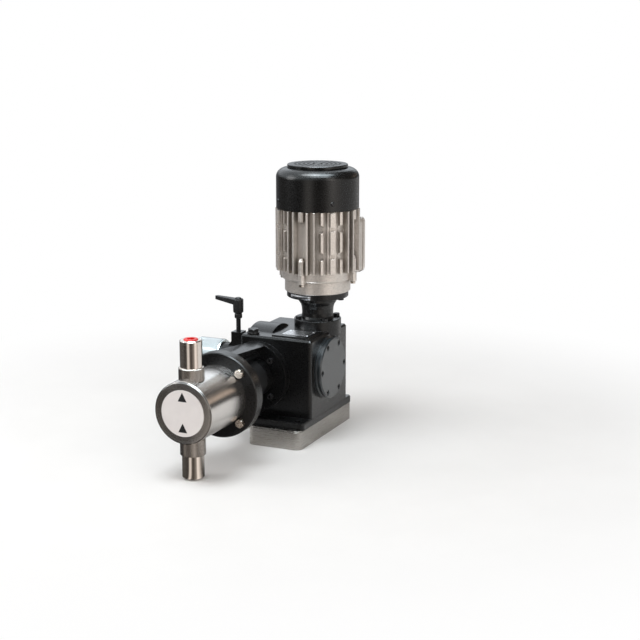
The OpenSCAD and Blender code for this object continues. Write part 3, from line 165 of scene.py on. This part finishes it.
class Surface(Graph):
    """The graph of a new material, in the object's own coordinates."""

    def __init__(self, name):
        self.material = bpy.data.materials.new(name)
        self.material.use_nodes = True
        super().__init__(self.material.node_tree, "Object")
        self.shader = self.tree.nodes["Principled BSDF"]

    def bump(self, height, strength, distance, normal):
        node = self.add("ShaderNodeBump")
        node.inputs["Strength"].default_value = strength
        node.inputs["Distance"].default_value = distance
        self.link(height, node.inputs["Height"])
        self.link(normal, node.inputs["Normal"])
        return node.outputs["Normal"]

    def round_edges(self, radius):
        """The normal of a surface whose edges are rounded by radius."""
        node = self.add("ShaderNodeBevel", samples=4)
        node.inputs["Radius"].default_value = radius
        return node.outputs["Normal"]

    def edge_mask(self, radius):
        """1 along the edges, 0 on the faces."""
        flat = self.add("ShaderNodeNewGeometry").outputs["Normal"]
        turn = self.vector("DOT_PRODUCT", self.round_edges(radius), flat)
        return self.remap(turn, 0.995, 0.85)

    def grooves(self, reach, low, high):
        """Ambient-occlusion mask used for painted shade: 1 in narrow grooves and corners, 0 on open faces."""
        node = self.add("ShaderNodeAmbientOcclusion", samples=6)
        node.inputs["Distance"].default_value = reach
        return self.remap(node.outputs["AO"], high, low)

    def axis_lines(self, axis, centre):
        """Coordinates of turning marks: distance along the axis and from it."""
        place = self.vector("SUBTRACT", self.here, centre)
        combine = self.add("ShaderNodeCombineXYZ")
        self.link(self.along(axis, place), combine.inputs["X"])
        self.link(self.off_axis(axis, place), combine.inputs["Y"])
        return combine.outputs["Vector"]

    def constant(self, **sockets):
        for key, value in sockets.items():
            self.shader.inputs[key.replace("_", " ")].default_value = value

    def finish(self, colour, rough, normal=None):
        self.link(colour, self.shader.inputs["Base Color"])
        self.link(rough, self.shader.inputs["Roughness"])
        if normal:
            self.link(normal, self.shader.inputs["Normal"])
        return self.material


# ---------------------------------------------------------------- materials
WORN_PAINT = (0.075, 0.068, 0.062)
PAINTED_GROOVE_SHADE = (0.28, 0.25, 0.22)  # share of a casting's colour kept where painted shade darkens its deep grooves, warmer than grey
KNURLS = 72


def enamel(name, base, rough, coat, peel=0.10, wear=0.5, gloss=0.4):
    """Sprayed enamel on metal: orange peel, faint mottling, edges worn a little lighter."""
    g = Surface(name)
    edge = 0.0007
    blotch = g.noise(g.here, 38, 4)
    fine = g.noise(g.here, 520, 2)
    paint = g.mix(g.remap(blotch, 0.35, 0.7), base, times(base, 0.7))
    rubbed = g.math("MULTIPLY", g.edge_mask(edge * 1.3), g.remap(g.noise(g.here, 90, 4), 0.4, 0.65, 0, wear))
    colour = g.mix(rubbed, paint, WORN_PAINT)
    normal = g.bump(blotch, peel, 0.0012, g.bump(fine, peel * 0.8, 0.0003, g.round_edges(edge)))
    g.constant(Specular_IOR_Level=gloss, Coat_Weight=coat, Coat_Roughness=0.12)
    return g.finish(colour, g.remap(fine, 0.3, 0.7, rough - 0.05, rough + 0.08), normal)


def cast_metal(name, base, rough):
    """Silver sprayed die casting: fine bright grain over a soft uneven skin, a painted highlight on the edges,
    painted shade in the grooves.
    """
    g = Surface(name)
    edge = 0.0006
    sand = g.noise(g.here, 900, 3, 0.7)
    skin = g.noise(g.here, 60, 4)
    colour = g.mix(g.remap(sand, 0.32, 0.68), times(base, 0.74), times(base, 1.14))
    colour = g.mix(g.remap(skin, 0.35, 0.75, 0.0, 0.35), colour, times(base, 0.8))
    # painted highlight: the edges lighter than the faces
    colour = g.mix(g.math("MULTIPLY", g.edge_mask(edge * 1.5), 0.6), colour, times(base, 1.3))
    # painted shade: deep grooves and corners darkened by ambient occlusion
    painted_groove_shade = g.math("MULTIPLY", g.grooves(0.014, 0.35, 0.8), 0.8)
    colour = g.mix(painted_groove_shade, colour, tuple(c * share for c, share in zip(base, PAINTED_GROOVE_SHADE)))
    normal = g.bump(skin, 0.12, 0.001, g.bump(sand, 0.25, 0.00025, g.round_edges(edge)))
    g.constant(Metallic=0.72)
    return g.finish(colour, g.remap(sand, 0.3, 0.7, rough - 0.08, rough + 0.1), normal)


def turned_metal(name, base, rough, axis, centre, anisotropy=0.6, lines=2600, streak=0.16,
                 collar=0.0, chamfer=None):
    """Lathe-turned metal: fine rings round an axis, a few coarser ones, a faint handled bloom.

    Beyond the radius collar it is knurled, for an axis along Z, with painted shade that darkens it, most between
    the ridges. A chamfer between two places along the axis is darkened with painted shade, which dims its
    highlight.
    """
    g = Surface(name)
    rings = g.axis_lines(axis, centre)
    fine = g.noise(rings, lines, 2, 0.7)
    coarse = g.noise(rings, lines / 9, 3, 0.6)
    bloom = g.noise(g.here, 24, 4)
    marks = g.math("ADD", g.math("MULTIPLY", fine, 0.6), g.math("MULTIPLY", coarse, 0.4))
    colour = g.mix(g.remap(marks, 0.35, 0.65), times(base, 1 - streak), times(base, 1 + streak * 0.6))
    colour = g.mix(g.remap(bloom, 0.45, 0.8, 0.0, 0.3), colour, times(base, 0.82))
    normal = g.bump(fine, 0.06, 0.0001, g.round_edges(0.0004))
    if collar:
        place = g.vector("SUBTRACT", g.here, centre)
        turn = g.math("ARCTAN2", g.along(ALONG_X, place), g.along(ALONG_Y, place))
        out = g.remap(g.off_axis(ALONG_Z, place), collar, collar + 0.0006)
        ridges = g.math("MULTIPLY", g.math("SINE", g.math("MULTIPLY", turn, KNURLS)), out)
        # painted shade: the knurled band darkened, most in the valleys between the ridges
        dark = g.math("MULTIPLY", out, g.remap(ridges, -1.0, 1.0, 0.85, 0.35))
        colour = g.mix(dark, colour, times(base, 0.28))
        normal = g.bump(ridges, 0.6, 0.0003, normal)
    if chamfer:
        start, end = chamfer
        place = g.along(axis)
        # painted shade on the chamfer, which dims its highlight
        chamfer_shade = g.math("MULTIPLY", g.remap(place, start, start + 0.0002), g.remap(place, end, end - 0.0003))
        colour = g.mix(chamfer_shade, colour, times(base, 0.3))
    tangent = g.add("ShaderNodeTangent", direction_type="RADIAL", axis="XYZ"[axis.index(1)])
    g.link(tangent.outputs[0], g.shader.inputs["Tangent"])
    g.constant(Metallic=1.0, Anisotropic=anisotropy, Anisotropic_Rotation=0.25)
    return g.finish(colour, g.remap(coarse, 0.3, 0.7, rough - 0.02, rough + 0.03), normal)


def rolled_metal(name, base, rough, stretch, edge=0.0006, bump=0.08, joints=0.0):
    """Sheet or ground metal with grain drawn out along one direction, with painted shade where parts meet, up to a
    reach.
    """
    g = Surface(name)
    drawn = g.noise(g.vector("MULTIPLY", g.here, stretch), 1.0, 4, 0.7)
    cloud = g.noise(g.here, 18, 4)
    colour = g.mix(g.remap(drawn, 0.35, 0.65), times(base, 0.85), times(base, 1.08))
    colour = g.mix(g.remap(cloud, 0.45, 0.75, 0.0, 0.3), colour, times(base, 0.8))
    if joints:
        # painted shade where parts meet, such as a bolt head on its washer, from ambient occlusion
        colour = g.mix(g.grooves(joints, 0.45, 0.95), colour, times(base, 0.12))
    normal = g.bump(drawn, bump, 0.0002, g.round_edges(edge))
    g.constant(Metallic=1.0)
    return g.finish(colour, g.remap(drawn, 0.3, 0.7, rough - 0.06, rough + 0.08), normal)


def moulded(name, base, rough, grain=700, bump=0.12, fade=0.8):
    """Moulded plastic, rubber or print with a fine texture."""
    g = Surface(name)
    fine = g.noise(g.here, grain, 3)
    cloud = g.noise(g.here, 45, 3)
    colour = g.mix(g.remap(cloud, 0.35, 0.7), base, times(base, fade))
    normal = g.bump(fine, bump, 0.0002, g.round_edges(0.0005))
    return g.finish(colour, g.remap(fine, 0.3, 0.7, rough - 0.05, rough + 0.08), normal)


def sight_window(name, oil, air, level):
    """Glass with oil behind it up to a level."""
    g = Surface(name)
    colour = g.mix(g.remap(g.along(ALONG_Z), level - 0.0005, level + 0.0005), oil, air)
    g.constant(Transmission_Weight=0.6)
    return g.finish(colour, g.remap(g.noise(g.here, 200), 0.3, 0.7, 0.04, 0.1))


LOOKS = {
    "tray_aluminium": (rolled_metal, dict(base=(0.40, 0.38, 0.355), rough=0.26, stretch=(40, 40, 1500))),
    "black_enamel": (enamel, dict(base=(0.0045, 0.0045, 0.0048), rough=0.30, coat=0.25, gloss=0.35)),
    "cover_enamel": (enamel, dict(base=(0.013, 0.0185, 0.022), rough=0.34, coat=0.5, peel=0.05, gloss=0.5)),
    "black_screws": (enamel, dict(base=(0.014, 0.014, 0.015), rough=0.38, coat=0.1, peel=0.03, wear=0.7)),
    "cowl_black": (enamel, dict(base=(0.003, 0.003, 0.0032), rough=0.27, coat=0.1, peel=0.04, wear=0.25,
                                gloss=0.52)),
    "plate_metal": (rolled_metal, dict(base=(0.66, 0.66, 0.67), rough=0.3, stretch=(900, 30, 30))),
    "tag_metal": (rolled_metal, dict(base=(0.26, 0.26, 0.27), rough=0.36, stretch=(900, 900, 60))),
    "bearing_steel": (rolled_metal, dict(base=(0.48, 0.48, 0.50), rough=0.25, stretch=(200, 200, 200))),
    "bronze": (rolled_metal, dict(base=(0.55, 0.36, 0.17), rough=0.35, stretch=(150, 900, 900))),
    "spring_steel": (rolled_metal, dict(base=(0.30, 0.32, 0.36), rough=0.35, stretch=(400, 400, 400))),
    "polished_steel": (rolled_metal, dict(base=(0.70, 0.70, 0.71), rough=0.12, stretch=(300, 300, 300), bump=0.01)),
    "nickel_bolts": (rolled_metal, dict(base=(0.88, 0.79, 0.70), rough=0.22, stretch=(500, 500, 500), bump=0.03,
                                        edge=0.0003, joints=0.004)),
    "nickel_brass": (rolled_metal, dict(base=(0.72, 0.64, 0.46), rough=0.24, stretch=(500, 500, 500), bump=0.03)),
    "stator_iron": (rolled_metal, dict(base=(0.20, 0.19, 0.19), rough=0.5, stretch=(60, 60, 2500))),
    "cast_aluminium": (cast_metal, dict(base=(0.78, 0.725, 0.675), rough=0.34)),
    "head_steel": (turned_metal, dict(base=(0.74, 0.71, 0.685), rough=0.21, axis=ALONG_Y, centre=HEAD_AXIS,
                                      anisotropy=0.9, lines=5200, streak=0.05,
                                      chamfer=HEAD_CHAMFER)),
    "fitting_steel": (turned_metal, dict(base=(0.78, 0.72, 0.665), rough=0.15, axis=ALONG_Z, centre=VALVE_AXIS,
                                         anisotropy=0.9, lines=5200, streak=0.08,
                                         collar=BETWEEN_SLEEVE_AND_COLLAR_R)),
    "knob_aluminium": (turned_metal, dict(base=(0.60, 0.645, 0.65), rough=0.24, axis=ALONG_X, centre=KNOB_AXIS,
                                          anisotropy=0.0, lines=5200, streak=0.04)),
    "plunger_steel": (turned_metal, dict(base=(0.66, 0.66, 0.67), rough=0.12, axis=ALONG_Y, centre=HEAD_AXIS)),
    "coupling_metal": (turned_metal, dict(base=(0.58, 0.58, 0.59), rough=0.3, axis=ALONG_Z, centre=MOTOR_AXIS)),
    "cone_steel": (turned_metal, dict(base=(0.52, 0.52, 0.53), rough=0.2, axis=ALONG_X, centre=KNOB_AXIS)),
    "black_plastic": (moulded, dict(base=(0.012, 0.012, 0.013), rough=0.42)),
    "packing": (moulded, dict(base=(0.06, 0.058, 0.055), rough=0.8, grain=260, bump=0.5)),
    "red_plastic": (moulded, dict(base=(0.72, 0.025, 0.018), rough=0.36, grain=500, bump=0.05)),
    "spider_rubber": (moulded, dict(base=(0.62, 0.13, 0.03), rough=0.6)),
    "label_white": (moulded, dict(base=(0.76, 0.71, 0.69), rough=0.5, grain=300, bump=0.02, fade=0.96)),
    "label_ink": (moulded, dict(base=(0.012, 0.012, 0.013), rough=0.45, grain=600, bump=0.03)),
    "tick_ink": (moulded, dict(base=(0.22, 0.24, 0.25), rough=0.5, grain=600, bump=0.03)),
    "sight_glass": (sight_window, dict(oil=(0.55, 0.40, 0.10), air=(0.75, 0.75, 0.72), level=0.099)),
}
# Nodes that look different from their slot
OWN_LOOK = {"discharge_fitting": "fitting_steel", "suction_fitting": "fitting_steel", "clamp_stud": "black_screws"}

materials = {name: make(name, **values) for name, (make, values) in LOOKS.items()}
for part in record["subparts"]:
    for slot in nodes[part["node"]].material_slots:
        slot.material = materials[OWN_LOOK.get(part["node"], part["material_slot"])]


# ---------------------------------------------------------------- small pieces
def piece(name, mesh, body, slot, look=None, smooth=True):
    """Wraps a bmesh as a piece that rides on a body; look is its material where the slot's isn't meant."""
    data = bpy.data.meshes.new(name)
    bmesh.ops.recalc_face_normals(mesh, faces=mesh.faces)
    mesh.to_mesh(data)
    mesh.free()
    obj = bpy.data.objects.new(name, data)
    bpy.context.scene.collection.objects.link(obj)
    data.materials.append(materials[look or slot])
    if smooth:
        data.shade_auto_smooth() if hasattr(data, "shade_auto_smooth") else data.shade_smooth()
    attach(obj, body)


def add_rivet(mesh, at, normal, radius, height, rings=4, sides=20):
    """A rivet head: a low dome whose rim sits on a surface."""
    turn = Vector((0, 0, 1)).rotation_difference(Vector(normal)).to_matrix()
    last = None
    for i in range(rings):
        rise = math.pi / 2 * i / rings
        r, z = radius * math.cos(rise), height * math.sin(rise)
        loop = []
        for k in range(sides):
            a = 2 * math.pi * k / sides
            loop.append(mesh.verts.new(Vector(at) + turn @ Vector((r * math.cos(a), r * math.sin(a), z))))
        if last:
            for k in range(sides):
                mesh.faces.new((last[k], last[(k + 1) % sides], loop[(k + 1) % sides], loop[k]))
        else:
            mesh.faces.new(loop[::-1])
        last = loop
    top = mesh.verts.new(Vector(at) + turn @ Vector((0, 0, height)))
    for k in range(sides):
        mesh.faces.new((last[k], last[(k + 1) % sides], top))


def add_prism(mesh, outline, place):
    """A thin flat plate: outline is a list of (u, v); place maps (u, v, 0 or 1) to a point."""
    low = [mesh.verts.new(place(u, v, 0)) for u, v in outline]
    high = [mesh.verts.new(place(u, v, 1)) for u, v in outline]
    n = len(outline)
    mesh.faces.new(low[::-1])
    mesh.faces.new(high)
    for k in range(n):
        mesh.faces.new((low[k], low[(k + 1) % n], high[(k + 1) % n], high[k]))


SUNK = 0.00002  # how deep printed pieces start in what carries them
PRINT = 0.00008  # their whole thickness
RIVET_SUNK = 0.00005


def flow_arrows():
    """Plain triangles on the front disc, one above and one below the middle."""
    half_width, height, bases = 0.0078, 0.0145, (0.0185, -0.0300)
    disc_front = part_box("head_label")[0].y
    mesh = bmesh.new()
    for z in bases:
        add_prism(mesh, [(-half_width, 0), (half_width, 0), (0, height)],
                  lambda u, v, t: (PLUNGER_X + u, disc_front + SUNK - PRINT * t, PLUNGER_Z + z + v))
    piece("flow_arrows", mesh, "pump_frame", "label_white", "label_ink", smooth=False)


def nameplate_rivets():
    """Four rivets in the corners of the blank nameplate."""
    inset, radius, height = 0.003, 0.0021, 0.0009
    low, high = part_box("nameplate")
    mesh = bmesh.new()
    for x in (low.x + inset, high.x - inset):
        for y in (low.y + inset, high.y - inset):
            add_rivet(mesh, (x, y, high.z - RIVET_SUNK), ALONG_Z, radius, height)
    piece("nameplate_rivets", mesh, "pump_frame", "plate_metal")


def flange_tag():
    """A bare tag bent round the upper flange of the adapter, with its two rivets."""
    start, end, steps = -35.0, 12.0, 18  # degrees from the front, towards the right
    thickness, sunk, low_edge, high_edge = 0.0005, 0.0001, 0.0085, 0.0015
    flange_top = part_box("motor_adapter")[1].z

    def outward(degrees):
        a = math.radians(degrees)
        return math.sin(a), -math.cos(a)

    mesh = bmesh.new()
    for i in range(steps):
        corners = []
        for degrees in (start + (end - start) * i / steps, start + (end - start) * (i + 1) / steps):
            dx, dy = outward(degrees)
            for r in (ADAPTER_FLANGE_R - sunk, ADAPTER_FLANGE_R + thickness):
                for z in (flange_top - low_edge, flange_top - high_edge):
                    corners.append(mesh.verts.new((MOTOR_X + r * dx, MOTOR_Y + r * dy, z)))
        quads = [(2, 3, 7, 6), (0, 4, 5, 1), (1, 5, 7, 3), (0, 2, 6, 4)]
        if i == 0:
            quads.append((0, 1, 3, 2))
        if i == steps - 1:
            quads.append((4, 6, 7, 5))
        for quad in quads:
            mesh.faces.new([corners[k] for k in quad])
    bmesh.ops.remove_doubles(mesh, verts=mesh.verts, dist=1e-6)
    piece("flange_tag", mesh, "pump_frame", "plate_metal", "tag_metal")

    from_end, radius, height = 4, 0.0022, 0.001
    mesh = bmesh.new()
    for degrees in (start + from_end, end - from_end):
        out = Vector((*outward(degrees), 0))
        middle = Vector((MOTOR_X, MOTOR_Y, flange_top - (low_edge + high_edge) / 2))
        add_rivet(mesh, middle + out * (ADAPTER_FLANGE_R + thickness - RIVET_SUNK), out, radius, height)
    piece("flange_tag_rivets", mesh, "pump_frame", "plate_metal")


def knob_ticks():
    """Graduation round the barrel of the stroke knob, every fourth tick longer."""
    count, half_width, short, long, from_edge, sunk = 40, 0.00025, 0.0035, 0.006, 0.0035, 0.00003
    low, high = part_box("stroke_knob")
    barrel_r = (high.z - low.z) / 2
    base = Vector((high.x - from_edge, SHAFT_Y, SHAFT_Z))
    mesh = bmesh.new()
    for k in range(count):
        a = 2 * math.pi * k / count
        radial = Vector((0, math.cos(a), math.sin(a)))
        across = Vector((0, -math.sin(a), math.cos(a)))
        length = short if k % 4 else long
        add_prism(mesh, [(0, -half_width), (length, -half_width), (length, half_width), (0, half_width)],
                  lambda u, v, t: base + Vector((-u, 0, 0)) + across * v + radial * (barrel_r - sunk + PRINT * t))
    piece("knob_ticks", mesh, "stroke_knob", "knob_aluminium", "tick_ink", smooth=False)


flow_arrows()
nameplate_rivets()
flange_tag()
knob_ticks()


# ---------------------------------------------------------------- studio
WHITE = (1.0, 1.0, 1.0)
SOFT_GREY = (0.60, 0.595, 0.59)
COOL, WARM = (0.92, 0.97, 1.0), (1.0, 0.96, 0.92)
FRONT, RIGHT, UP = (0.4137, -0.9104, 0), (0.9104, 0.4137, 0), (0, 0, 1)  # of the photograph's view
CAMERA_AT = (0.9926, -2.1054, 0.7184)
CAMERA_TO = (0.029, 0.015, 0.1935)
SENSOR_WIDTH, LENS = 36, 79.36
ROOM_CENTRE = (-0.045, -0.30, 0)  # under the head

# What shiny surfaces see around them, by the turn from the camera's side to the right, in degrees:
# low down, dark walls with lit panels, and higher up a ceiling that is lit at the back and on the left
WALLS = (
    (-180, (0.30, 0.31, 0.33)), (-150, (0.16, 0.16, 0.17)), (-125, (0.10, 0.095, 0.09)), (-60, (0.05, 0.045, 0.04)),
    (-42, (0.07, 0.062, 0.057)), (-31, (0.78, 0.73, 0.68)), (-17, (0.84, 0.78, 0.73)), (-7, (0.12, 0.105, 0.09)),
    (8, (0.07, 0.06, 0.053)), (24, (0.20, 0.18, 0.16)), (36, (0.35, 0.32, 0.29)), (46, (1.05, 0.98, 0.92)),
    (61, (0.90, 0.84, 0.79)), (82, (0.32, 0.30, 0.28)), (102, (0.06, 0.055, 0.05)), (140, (0.10, 0.10, 0.10)),
    (156, (0.20, 0.21, 0.22)), (180, (0.30, 0.31, 0.33)),
)
CEILING = (
    (-180, (1.26, 1.34, 1.42)), (-150, (1.12, 1.18, 1.24)), (-60, (0.95, 1.05, 1.10)), (-20, (0.70, 0.76, 0.80)),
    (10, (0.34, 0.34, 0.34)), (40, (0.12, 0.11, 0.10)), (70, (0.16, 0.14, 0.125)), (150, (0.10, 0.095, 0.09)),
    (162, (1.20, 1.29, 1.36)), (180, (1.26, 1.34, 1.42)),
)
CEILING_FROM, CEILING_FULL = 0.05, 0.30  # heights of the direction where the ceiling takes over from the walls
# Lit panels: the colour, then each soft edge as an axis and its heights from outside to inside
PANELS = (
    ((9.0, 10.2, 10.9), ((UP, 0.5, 0.7), (RIGHT, 0.50, 0.30), (RIGHT, -0.30, -0.14),
                         (FRONT, 0.70, 0.45), (FRONT, -0.20, 0.0))),  # a softbox over the front
    ((0.75, 0.60, 0.48), ((UP, 0.12, 0.18), (UP, 0.31, 0.25), (RIGHT, 0.52, 0.66),
                          (FRONT, -0.3, -0.5))),  # a low warm one, behind on the right
)


def room(g, direction):
    """Colour of the room in a direction."""
    toward = {axis: g.along(axis, direction) for axis in (RIGHT, FRONT, UP)}
    turn = g.remap(g.math("ARCTAN2", toward[RIGHT], toward[FRONT]), -math.pi, math.pi, shape="LINEAR")
    walls, ceiling = (g.ramp(turn, [((degrees + 180) / 360, colour) for degrees, colour in stops])
                      for stops in (WALLS, CEILING))
    seen = g.mix(g.remap(toward[UP], CEILING_FROM, CEILING_FULL), walls, ceiling)
    for colour, edges in PANELS:
        inside = 1.0
        for axis, outer, inner in edges:
            inside = g.math("MULTIPLY", g.remap(toward[axis], outer, inner), inside)
        seen = g.mix(inside, seen, colour)
    return seen


def floor_material():
    """Pale floor that keeps the shadow near the object and fades to plain white far from it.

    Shiny surfaces see the room in it, except close to the object and on a patch behind it on the right.
    """
    fade, mirror = (0.32, 0.95), (0.13, 0.28)  # distances from the middle where each begins and is full
    patch_x, patch_y = (0.08, 0.14), (-0.20, -0.10)
    g = Surface("pale_floor")
    seen = g.add("ShaderNodeLightPath").outputs
    distance = g.off_axis(ALONG_Z, g.here)
    clear = g.math("ADD", seen["Is Camera Ray"], seen["Is Transmission Ray"], clamp=True)
    white_part = g.math("MULTIPLY", g.remap(distance, *fade), clear)
    patch = g.math("MULTIPLY", g.remap(g.along(ALONG_X), *patch_x), g.remap(g.along(ALONG_Y), *patch_y))
    mirror_part = g.math("MULTIPLY", g.remap(distance, *mirror),
                         g.math("SUBTRACT", seen["Is Glossy Ray"], patch, clamp=True))
    far = g.add("ShaderNodeEmission")
    g.link(g.mix(seen["Is Glossy Ray"], WHITE, room(g, g.vector("SUBTRACT", g.here, ROOM_CENTRE))),
           far.inputs["Color"])
    colour = g.mix(g.remap(g.noise(g.here, 6), 0.3, 0.7), (0.86, 0.845, 0.83), (0.88, 0.865, 0.85))
    g.constant(Specular_IOR_Level=0.2)
    g.finish(colour, 0.75)
    blend = g.add("ShaderNodeMixShader")
    g.link(g.math("ADD", white_part, mirror_part, clamp=True), blend.inputs[0])
    g.link(g.shader.outputs[0], blend.inputs[1])
    g.link(far.outputs[0], blend.inputs[2])
    g.link(blend.outputs[0], g.tree.nodes["Material Output"].inputs["Surface"])
    return g.material


def floor():
    half_size, below = 8, 0.0003
    mesh = bmesh.new()
    bmesh.ops.create_grid(mesh, x_segments=1, y_segments=1, size=half_size)
    data = bpy.data.meshes.new("floor")
    mesh.to_mesh(data)
    mesh.free()
    obj = bpy.data.objects.new("floor", data)
    obj.location.z = cad_box[0][2] - below
    bpy.context.scene.collection.objects.link(obj)
    data.materials.append(floor_material())


def world():
    """White for the camera, the room for reflections, soft grey for diffuse light."""
    made = bpy.data.worlds.new("studio")
    bpy.context.scene.world = made
    made.use_nodes = True
    g = Graph(made.node_tree, "Generated")
    ray = g.add("ShaderNodeLightPath").outputs
    seen = g.mix(ray["Is Glossy Ray"], SOFT_GREY, room(g, g.here))
    for clear in ("Is Transmission Ray", "Is Camera Ray"):
        seen = g.mix(ray[clear], seen, WHITE)
    back = g.tree.nodes["Background"]
    g.link(seen, back.inputs["Color"])
    back.inputs["Strength"].default_value = 1.0


def aim(data, at, to):
    """Puts a lamp or camera at a place, looking at another."""
    obj = bpy.data.objects.new(data.name, data)
    turn = (Vector(to) - Vector(at)).to_track_quat("-Z", "Y").to_matrix().to_4x4()
    obj.matrix_world = Matrix.Translation(Vector(at)) @ turn
    bpy.context.scene.collection.objects.link(obj)
    return obj


def softbox(name, at, to, size, power, colour):
    data = bpy.data.lights.new(name, "AREA")
    data.shape = "RECTANGLE"
    data.size, data.size_y = size
    data.energy = power
    data.color = colour
    aim(data, at, to)


def camera():
    data = bpy.data.cameras.new("photo_camera")
    data.sensor_width = SENSOR_WIDTH
    data.lens = LENS
    data.clip_start, data.clip_end = 0.1, 50
    bpy.context.scene.camera = aim(data, CAMERA_AT, CAMERA_TO)


floor()
world()
camera()
softbox("top_light", at=(-0.14, -0.44, 1.75), to=(0, -0.05, 0.15), size=(0.7, 0.7), power=13, colour=COOL)
softbox("left_light", at=(-1.7, -1.1, 1.1), to=(-0.05, -0.1, 0.2), size=(0.9, 1.4), power=13, colour=WHITE)
softbox("right_light", at=(1.7, -0.9, 0.9), to=(0.05, 0, 0.25), size=(0.8, 1.3), power=5, colour=WARM)
bpy.context.scene.view_settings.view_transform = "Standard"
